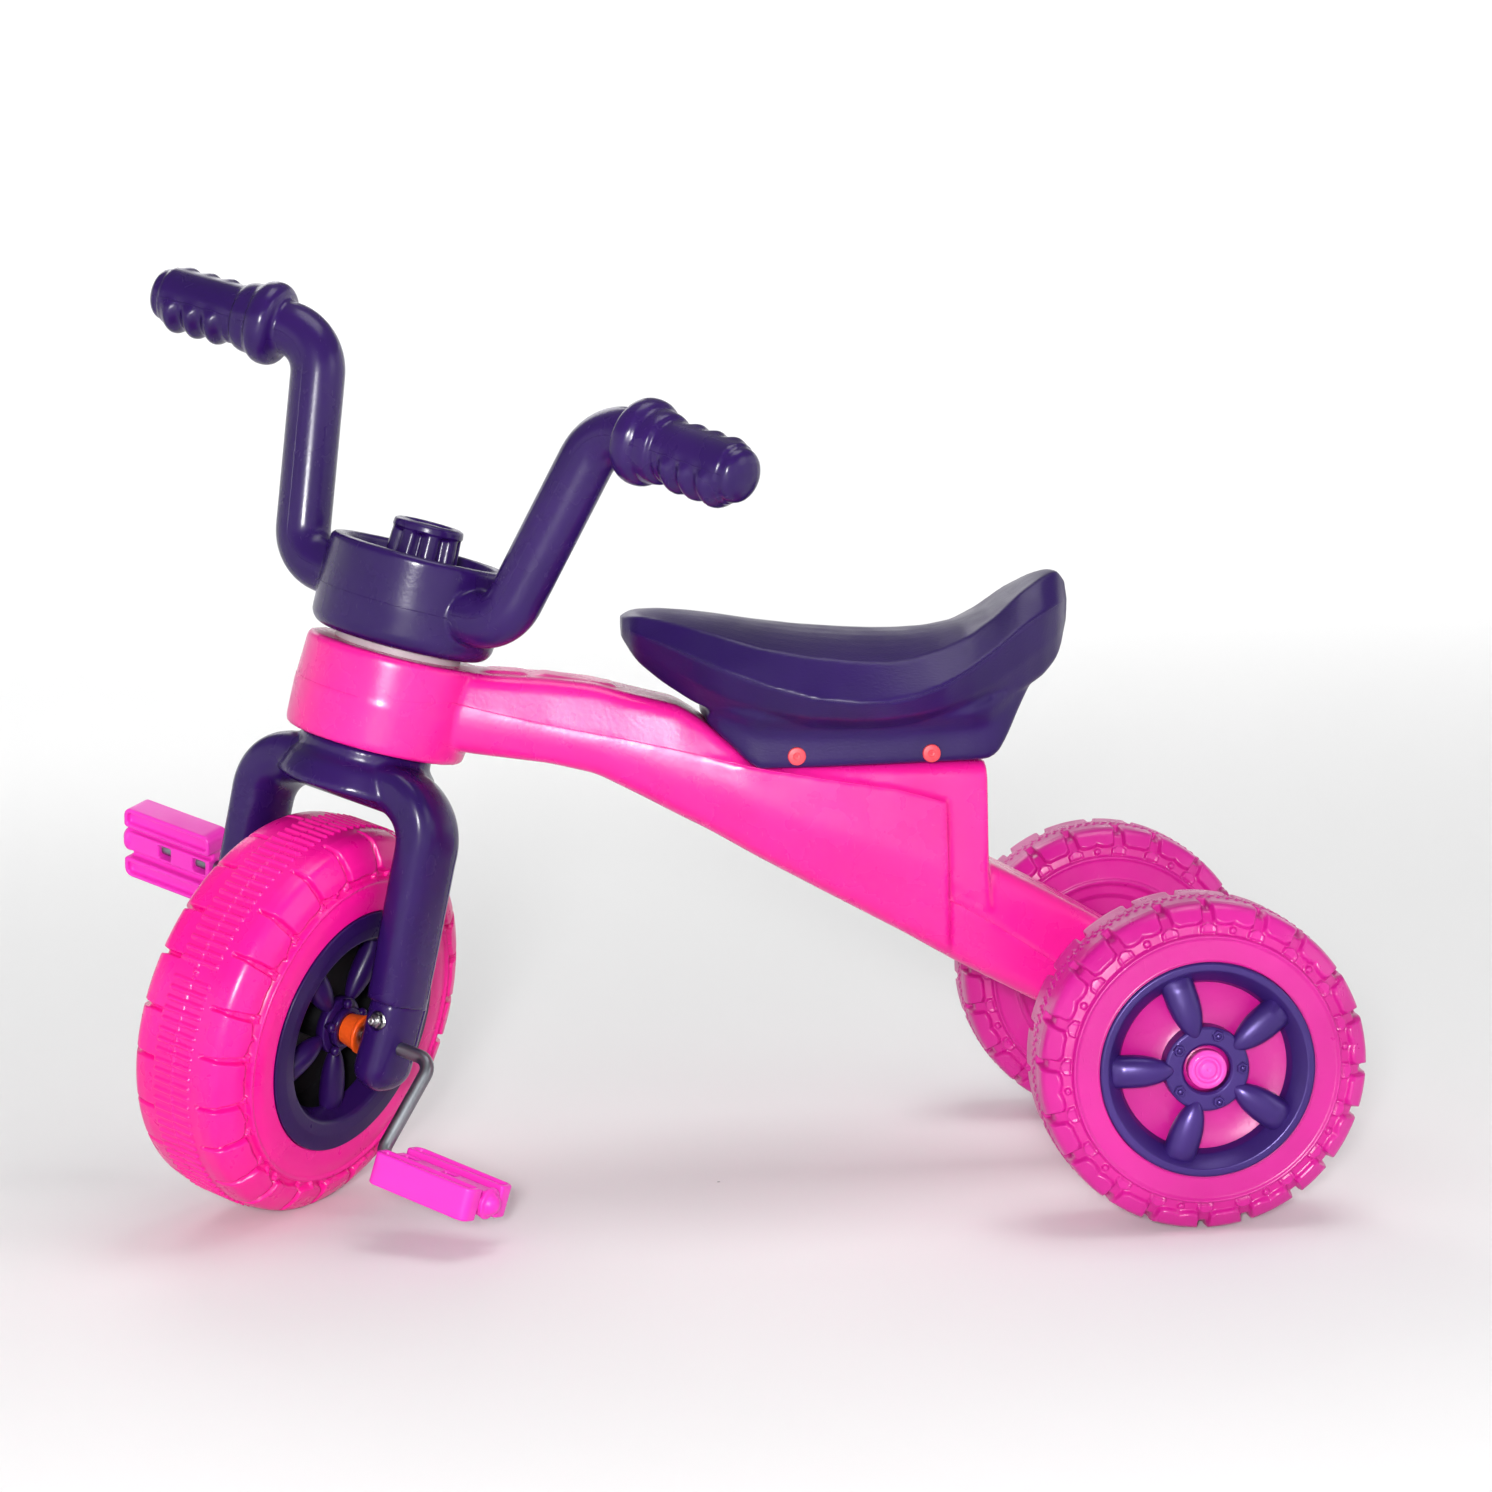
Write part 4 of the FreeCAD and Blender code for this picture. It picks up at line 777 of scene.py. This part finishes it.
def make_handlebar():
    def tilted(shell):
        return moved(turned(moved(shell, z=-247.0), BAR_TILT, "Y"), z=247.0)

    drum = rounded([
        (217.4, 0.01), (217.4, 52, 9), (240, 52.4, 4), (270, 52, 3.5),
        (270, 43.6, 2.2), (257.2, 41.6, 1), (257.2, 0.01),
    ], segments=7)
    shells = [upright(spun(drum, 128))]
    lines = []
    for sign in (1, -1):
        path = bent_path([
            (30 * sign, -13, 244), (71 * sign, -13, 247), (98 * sign, -13, 368),
            (203.5 * sign, -33.6, 365.6),
        ], [22.0, 26.0], 1.0)
        sides, depths = path_frames(path, (0, -1.0, 0))
        left = lengths(path)[-1] - lengths(path)
        big = np.clip(1 - np.abs((left - 75.0) / 8.4) ** 2.6, 0, 1) ** 0.5 * 8.6
        small = np.clip(1 - np.abs((left - 66.5) / 9.0) ** 4.0, 0, 1) ** 0.5 * 4.8
        radius = BAR_RADIUS + np.maximum(big, small) + 1.1 * smoothstep((60 - left) / 2)
        dome = 15.0 * np.sqrt(np.clip(1 - (np.maximum(7.8 - left, 0) / 8.0) ** 2.4, 0.012, 1))
        radius = np.where(left < 9.5, dome, radius)
        angle = np.linspace(0, TAU, 72, endpoint=False)[None, :, None]
        outward = sides[:, None] * np.cos(angle) + depths[:, None] * np.sin(angle)
        down = np.clip(-outward[:, :, 2], 0, 1)
        back_up = np.clip(0.8 * outward[:, :, 1] + 0.6 * outward[:, :, 2], 0, 1)
        zone = smoothstep((left - 9) / 2) * smoothstep((55 - left) / 3)
        fingers = (0.5 + 0.5 * np.cos((left - 17.5) / 13.3 * TAU)) ** 0.8 * zone
        ridge = fingers[:, None] * (
            smoothstep(down / 0.55) * 4.0 + smoothstep((back_up - 0.35) / 0.4) * 2.2
        )
        reach = (radius[:, None] + ridge)[:, :, None]
        shells.append(tilted(rings(path[:, None] + outward * reach)))
        lines.append(tilted((path + sides * BAR_RADIUS, []))[0])
    slot = "bar_purple"
    bar = piece(
        "handlebar_shell", shells, STEER, "steering", slot, ["handlebar"], voxel=1.1, ease=3,
    )
    angle = np.linspace(0, TAU, 160, endpoint=False)
    ring = np.stack([52.4 * np.cos(angle), 52.4 * np.sin(angle), np.full(160, 241.0)], 1)
    front = (angle > math.radians(195)) & (angle < math.radians(345))
    rear = (angle > math.radians(15)) & (angle < math.radians(165))
    seam("drum_seam_front", ring[front], bar, STEER, slot, "steering", 0.4)
    seam("drum_seam_rear", ring[rear], bar, STEER, slot, "steering", 0.4)
    for name, trace in zip(("left", "right"), lines):
        seam(f"bar_seam_{name}", trace[16:-4], bar, STEER, slot, "steering", 0.38)


def make_knob():
    profile = rounded([
        (258.7, 5.2), (258.7, 21.2, 1), (281, 19.6), (281.8, 20.2, 0.5), (285.6, 19.8, 1.6),
        (286.6, 17, 1.2), (286.6, 14.6, 0.8), (284.6, 13.6, 0.8), (284.6, 8.6, 0.6),
        (285.6, 8, 0.4), (285.6, 0.01), (281.6, 0.01), (281.6, 5.2),
    ], segments=6)
    profile = np.vstack([evenly(profile[:-2], 110, closed=False), profile[-2:]])

    def flutes(angle, r, x):
        lobe = 0.5 + 0.5 * np.cos(angle * 8)
        cut = (1 - lobe) ** 2.4 * 4.4 * smoothstep((281.6 - x) / 2.4)
        return r - smoothstep((r - 13.0) / 6.0) * cut

    shell = upright(spun(profile, 192, radii=flutes))
    piece("knob", [shell], STEER, "steering", "bar_purple", ["steering_knob"])


# ---- frame
def mirrored(corners):
    return [(-x, *rest) for x, *rest in reversed(corners)]


def standing(corners, y, count, segments=6):
    """An outline in X and Z as count points at one place along Y."""
    flat = evenly(rounded(corners, segments=segments), count)
    return np.stack([flat[:, 0], np.full(count, y), flat[:, 1]], 1)


def box_section(round_low, round_high):
    def shape(y, low, high, half_low, half_high):
        return standing([
            (-half_low, low, round_low), (half_low, low, round_low),
            (half_high, high, round_high), (-half_high, high, round_high),
        ], y, 84)
    return shape


def bulge_section(y, low, high, half_low, half_high):
    """The lower moulding: rounded under, swelling to its widest a little below the seam."""
    waist, top = low + 0.58 * (high - low), half_high - 0.028 * (high - low)
    right = [(half_low, low, 14), (half_high, waist, 45), (top, high, 0.5)]
    return standing(right + mirrored(right), y, 110)


def loft(table, step, shape):
    """Sections every step along Y, from a table whose first column is Y."""
    table = np.array(table, float)
    y = np.arange(table[0, 0], table[-1, 0] + 0.01, step)
    columns = [np.interp(y, table[:, 0], table[:, k]) for k in range(1, table.shape[1])]
    kernel = np.array([1, 4, 6, 4, 1]) / 16
    eased = []
    for column in columns:
        padded = np.concatenate([column[:1]] * 2 + [column] + [column[-1:]] * 2)
        eased.append(np.convolve(padded, kernel, "valid"))
    return rings(np.array([shape(*values) for values in zip(y, *eased)]))


def side_line(points, sign):
    """Points (place, half width, height) along one side, every 3 mm."""
    points = np.array(points, float)
    dense = at_lengths(points, np.arange(0, lengths(points)[-1], 3.0))
    return np.stack([dense[:, 1] * sign, dense[:, 0], dense[:, 2]], 1)


def make_frame():
    # columns: place, bottom, seam height, top, then half widths at bottom, seam, inset seam, top
    beam = [
        (-428, 269, 293, 310, 30, 34, 33.8, 29), (-400, 262, 291, 307, 30, 34, 33.8, 29),
        (-371, 257, 283, 303, 30, 34, 33.7, 29), (-341, 252, 275, 300, 30, 34.4, 34, 28.5),
        (-315, 245, 269, 296, 30, 35.5, 35, 29), (-297, 235, 265, 290.5, 30.5, 36.5, 36, 30),
        (-267, 218, 257, 282, 32.5, 39, 38.2, 33), (-254, 211, 254, 273, 33.5, 40, 39, 34),
        (-236, 200, 250, 257, 34, 43, 40, 38), (-228, 195, 247.5, 246, 34, 43.6, 40, 39),
        (-192, 174, 240, 245.5, 34.5, 44.2, 39.9, 39.3),
        (-144, 146.5, 231, 245.5, 35, 44.4, 39.6, 39.2), (-119, 131, 223, 245.5, 35, 44.2, 39, 39),
    ]
    lower = [(y, zb, zs, hb, hs) for y, zb, zs, _, hb, hs, _, _ in beam]
    upper = [(y, zs - 3, max(zt, zs - 1), hi, ht) for y, _, zs, zt, _, _, hi, ht in beam[:-1]]
    upper += [
        (-130, 195, 245.5, 38, 39), (-124, 176, 245.5, 36.4, 39), (-108, 168, 245, 36.4, 38.8),
        (-97, 158, 244, 36, 38.2), (-93.5, 154, 243, 35.5, 37.6),
    ]
    tail_low = [
        (-135, 142, 170, 30, 33), (-120, 131, 167.6, 31, 35.5), (-118, 130, 167, 31, 38.4),
        (-97, 118, 154, 30.5, 37.4), (-63, 99, 130, 29, 35), (-30, 80, 110, 27, 32),
        (0, 66, 96, 25, 30),
    ]
    tail_high = [
        (-130, 170, 205, 35.5, 35), (-118, 164.5, 198, 36.4, 34), (-92, 148.5, 183.5, 35.4, 31),
        (-69, 131.5, 171, 33.6, 29.5), (-40, 114, 154.5, 31.8, 28.5), (-15, 101, 139, 29, 26),
        (2, 94, 126, 27, 22),
    ]
    shells = [
        loft(lower, 3.0, bulge_section), loft(upper, 3.0, box_section(1, 9)),
        loft(tail_low, 3.0, box_section(14, 0.5)), loft(tail_high, 3.0, box_section(1, 10)),
    ]
    for first, last in ((-376.0, -351.0), (-346.5, -301.0)):
        pad = [(first, 1.6), (first + 2, 0), (last - 2, 0), (last, 1.6)]
        rows = []
        for y, drop in pad:
            top = np.interp(y, [row[0] for row in beam], [row[3] for row in beam])
            rows.append((y, top - 8, top + 1.7 - drop, 15 - drop, 14 - drop))
        shells.append(loft(rows, 2.0, box_section(1, 2.5)))
    tube = lathe([
        (-92, 0.01), (-92, 14, 2), (-84, 23, 6), (-30, 25), (30, 25), (84, 23, 6),
        (92, 14, 2), (92, 0.01),
    ], 96)
    shells.append(moved(tube, z=90.0))
    head = upright(lathe([
        (159, 0.01), (159, 50.6, 4.5), (163.5, 51.4, 2), (185.5, 52.2, 4), (187, 51.8, 1),
        (210.5, 51, 2), (213, 49.4, 2.2), (213, 0.01),
    ], 144))
    ring = np.radians(np.linspace(-165, -15, 120))
    head_seam = np.stack([52.2 * np.cos(ring), 52.2 * np.sin(ring), np.full(120, 187.0)], 1)
    head, (head_seam, _) = (
        moved(turned(shell, -16.81, "X"), y=-484.9, z=113.43) for shell in (head, (head_seam, []))
    )
    shells.append(head)
    slot = "frame_pink"
    body = piece(
        "frame_shell", shells, CHASSIS, "frame", slot, ["frame_body"], voxel=1.6, ease=3,
    )
    seams = {
        "beam": [
            (-428, 34, 294), (-400, 34, 291.5), (-371, 34, 283), (-341, 34.4, 275),
            (-297, 36.5, 265), (-236, 42, 250), (-192, 43, 240), (-144, 43, 231),
            (-119.5, 42.6, 223.5),
        ],
        "tail": [(-118.5, 40, 167), (-97, 38, 154), (-63, 35, 130), (-38, 33, 114.5)],
    }
    for sign, name in SIGNS:
        for tag, points in seams.items():
            seam(f"{tag}_seam_{name}", side_line(points, sign), body, CHASSIS, slot, "frame", 0.4)
    seam("head_seam", head_seam, body, CHASSIS, slot, "frame", 0.4)


# ---- seat
SEAT = [
    # place, underside and half width; seam and half width; crease and half width; crown
    (-297, 321.5, 3, 325.4, 9, 330, 6, 331),
    (-295, 315, 10, 325, 19, 331.5, 13, 333),
    (-289, 306, 16, 323, 29, 332.6, 21, 334.7),
    (-276, 295, 24, 318.5, 41, 330.5, 31, 334.8),
    (-259.5, 284, 32, 311, 53, 326.5, 42, 333),
    (-244, 277, 40, 304, 61.5, 322, 49.5, 330.6),
    (-222, 272, 47, 295.4, 69.5, 315, 56.5, 326.5),
    (-197, 269, 51, 288, 75.5, 310, 62, 322.6),
    (-172, 268, 52.5, 284.5, 78, 306.5, 64, 320),
    (-153, 268, 52.5, 284.6, 77.5, 305, 62, 318.6),
    (-139, 269, 52, 287, 76, 306, 59, 318.2),
    (-122, 270, 50, 292.5, 72, 310, 53, 318.6),
    (-105, 272.5, 47, 301, 65, 316, 45, 321.2),
    (-89, 277, 42, 311, 57, 325.5, 36, 327.2),
    (-74, 283, 36, 321, 48, 337, 28, 337.6),
    (-60, 290, 27, 327.5, 38, 344.8, 20, 345.2),
    (-50, 299, 18, 330.8, 27, 348.2, 12, 348.6),
    (-44.5, 310, 9, 332.2, 15, 346, 6, 346.6),
    (-42.4, 328, 3, 332.3, 6, 336, 3, 336.4),
]


def seat_section(y, under, half_under, seam_z, half_seam, crease, half_crease, crown):
    arch = [
        (half_crease * k, crown - (crown - crease) * k * k) for k in (0.85, 0.7, 0.55, 0.4, 0.2)
    ]
    bulge = half_under / 52
    middle = (half_seam + half_under) / 2 + 3.0 * bulge, (seam_z + under) / 2 - 2.0 * bulge
    right = [
        (half_under, under, 5.0), (*middle, 9.0), (half_seam, seam_z, 1.2),
        (half_crease, crease, 2.0), *arch,
    ]
    return standing([(0, under), *right, (0, crown), *mirrored(right)], y, 150, 4)


def skirt_section(y, low, high, half_low, half_high):
    right = [
        (half_low - 0.4, low, 3.5), (half_low + 0.6, low + 0.46 * (high - low), 12.0),
        (half_high + 8.0, low + 0.78 * (high - low), 6.0), (half_high - 8.0, high, 6.0),
    ]
    return standing(right + mirrored(right), y, 120)


def make_seat():
    skirt = [
        (-252, 272, 276, 30, 26), (-247, 266.5, 288, 37, 36), (-239, 259, 290, 42, 44),
        (-231, 250.5, 290, 45.2, 49), (-225, 246.2, 290, 46.2, 52), (-190, 245.8, 287, 46.6, 54),
        (-150, 245.8, 285, 46.6, 54), (-105, 245.8, 286, 46, 50), (-95, 246.2, 289, 45, 46),
        (-89, 249.5, 292, 43, 42), (-83, 259, 294, 40, 37), (-75, 274, 296, 34, 30),
        (-66, 288, 298, 26, 22),
    ]
    shells = [loft(SEAT, 2.0, seat_section), loft(skirt, 1.5, skirt_section)]
    slot = "seat_purple"
    seat = piece("saddle", shells, CHASSIS, "frame", slot, ["seat"], voxel=1.35, ease=2)
    rim = [(y, half_seam, seam_z) for y, _, _, seam_z, half_seam, _, _, _ in SEAT[1:-1]]
    for sign, name in SIGNS:
        seam(f"saddle_seam_{name}", side_line(rim, sign), seat, CHASSIS, slot, "frame", 0.4)


def make_plugs():
    shells = []
    plug = lathe([
        (30, 0.01), (30, 3.9), (46.4, 3.9), (46.4, 5.2, 0.3), (48.2, 5, 0.7),
        (48.5, 2.2, 0.5), (48.1, 1.6, 0.3), (48.1, 0.01),
    ], 40)
    for y, z in ((-203.8, 253.0), (-128.0, 251.4)):
        shells += [moved(turned(plug, degrees, "Z"), y=y, z=z) for degrees in (0, 180)]
    piece("plugs", shells, CHASSIS, "frame", "plug_coral", ["seat_plugs"])


# ---- pedals and crank
def slab(start, end, near, far, levels):
    """An upright-sided plate in X and Y, as (height, inset) levels; far corners are rounder."""
    outlines = []
    for height, inset in levels:
        x0, x1, y0, y1 = start + inset, end - inset, near + inset, far - inset
        soft, tight = max(5.0 - inset, 0.8), max(1.8 - inset, 0.4)
        corners = [(x0, y0, tight), (x1, y0, tight), (x1, y1, soft), (x0, y1, soft)]
        outlines.append(np.column_stack([evenly(rounded(corners), 96), np.full(96, height)]))
    return rings(np.array(outlines))


def make_pedals():
    start, end = 101.5, 167.0
    rim = [(-5.6, 2.9), (-8.7, 2.6), (-9.1, 2.2), (-9.1, 0.8), (-8.4, 0.0)]
    rim += [(-height, inset) for height, inset in reversed(rim)]
    half = slab(start, end, 10.0, 22.5, rim)
    runs = ((103, 106.5), (116, 133), (142, end))
    barrel = [box_shell((x0, -6.0, -6.9), (x1, 6.0, 6.9), 1.0) for x0, x1 in runs]
    walls = [box_shell((103, y - 0.9, -6.9), (end, y + 0.9, 6.9), 0.6) for y in (-5.1, 5.1)]
    webs = [
        box_shell((start + 1, y - 3.4, -3.2), (end - 2, y + 3.4, 3.2), 0.8) for y in (-8.6, 8.6)
    ]
    flange = lathe([
        (end - 3, 0.01), (end - 3, 7.6), (end - 1.4, 8.8, 0.8), (end + 0.9, 8.8, 0.9),
        (end + 0.9, 0.01),
    ], 64)
    dome = [(end, 0.01)] + [
        (end + 0.4 + 5.6 * math.sin(a), 6.2 * math.cos(a)) for a in np.linspace(0, 1.55, 14)
    ]
    nub = spun(np.array(dome), 64)
    shells = [half, turned(half, 180, "X"), *barrel, *walls, *webs, flange, nub]
    for side, place in PEDALS.items():
        piece(
            f"pedal_block_{side}", shells, place, f"pedal_{side}", "pedal_pink", [f"pedal_{side}"],
            voxel=0.6, ease=1,
        )


def make_crank():
    side, arm, tip = 92.0, CRANK_ARM, 160.0
    line = bent_path([
        (-tip, 0, arm), (-side, 0, arm), (-side, 0, 0), (side, 0, 0), (side, 0, -arm),
        (tip, 0, -arm),
    ], [9.0] * 4, 1.5)
    sides, depths = path_frames(line, (0, 1.0, 0))
    radius = np.full(len(line), 4.0)
    shell = swept(line, sides, depths, radius, radius, 2.0, 28)
    piece("crank_bar", [shell], CRANK, "front_wheel", "crank_steel", ["crank"])


# ---- stage
def make_stage():
    """A pale floor that rises into a low seamless wall all round, and soft lights."""
    quarter = np.linspace(0, math.pi / 2, 16)
    bend = np.stack([6.5 + 2.0 * np.sin(quarter), 2.0 - 2.0 * np.cos(quarter)], 1)
    out, up = np.array([(0.001, 0.0), (1.5, 0.0), (3.0, 0.0), *bend, (8.5, 3.2)]).T
    angle = np.linspace(0, TAU, 96, endpoint=False)[:, None]
    points = np.stack([out * np.cos(angle), out * np.sin(angle), up + 0 * angle], 2)
    mesh = bpy.data.meshes.new("floor")
    mesh.from_pydata(points.reshape(-1, 3).tolist(), [], grid_faces(96, len(out), True, False))
    mesh.shade_smooth()
    ground = bpy.data.objects.new("floor", mesh)
    bpy.context.scene.collection.objects.link(ground)
    material = bpy.data.materials.new("floor")
    material.use_nodes = True
    shader = material.node_tree.nodes["Principled BSDF"]
    shader.inputs["Base Color"].default_value = (0.84, 0.84, 0.84, 1)
    shader.inputs["Roughness"].default_value = 0.8
    ground.data.materials.append(material)
    world = bpy.data.worlds.new("studio")
    bpy.context.scene.world = world
    world.use_nodes = True
    background = world.node_tree.nodes["Background"]
    background.inputs["Color"].default_value = (1, 1, 1, 1)
    background.inputs["Strength"].default_value = 0.30

    def lamp(name, spot, aim, size, power):
        light = bpy.data.lights.new(name, "AREA")
        light.energy = power
        light.size = size
        holder = bpy.data.objects.new(name, light)
        holder.location = spot
        holder.rotation_euler = (Vector(aim) - Vector(spot)).to_track_quat("-Z", "Y").to_euler()
        bpy.context.scene.collection.objects.link(holder)

    middle = (0.0, 0.0, 0.25)
    lamp("key", (2.25, -0.28, 0.66), middle, 0.22, 50.0)
    lamp("overhead", (0.1, 0.5, 2.4), middle, 1.2, 16.0)
    lamp("fill", (1.0, 2.3, 1.1), middle, 1.0, 5.0)
    lamp("rim", (-2.2, -0.6, 1.8), middle, 1.2, 12.0)
    backdrop_lamps = 6
    for step in range(backdrop_lamps):
        a = TAU * step / backdrop_lamps
        lamp(
            f"backdrop_{step}", (3.6 * math.cos(a), 3.6 * math.sin(a), 4.6),
            (8.2 * math.cos(a), 8.2 * math.sin(a), 1.2), 2.0, 190.0,
        )


def make_camera():
    azimuth, elevation = math.radians(85.10), math.radians(6.87)
    level = math.cos(elevation)
    back = Vector((math.sin(azimuth) * level, -math.cos(azimuth) * level, math.sin(elevation)))
    right = Vector((0, 0, 1)).cross(back).normalized()
    camera = bpy.data.objects.new("camera", bpy.data.cameras.new("camera"))
    camera.data.sensor_width = 36.0
    camera.data.lens = 78.98
    camera.data.shift_x = -0.0026
    camera.data.shift_y = -0.0214
    spot = Vector((1847.04, -383.64, 495.48)) * MM + Vector((0, REAR_AXLE.y, 0))
    camera.matrix_world = from_axes(right, back.cross(right), back, spot) @ turn(-1.86, "Z")
    bpy.context.scene.collection.objects.link(camera)
    bpy.context.scene.camera = camera


make_front_tyre()
make_rear_tyres()
make_front_rings()
make_rear_covers()
make_fork()
make_fork_ends()
make_fork_end_fittings()
make_handlebar()
make_knob()
make_frame()
make_seat()
make_plugs()
make_pedals()
make_crank()
make_stage()
make_camera()
bpy.context.scene.view_settings.view_transform = "Standard"
bpy.context.view_layer.update()
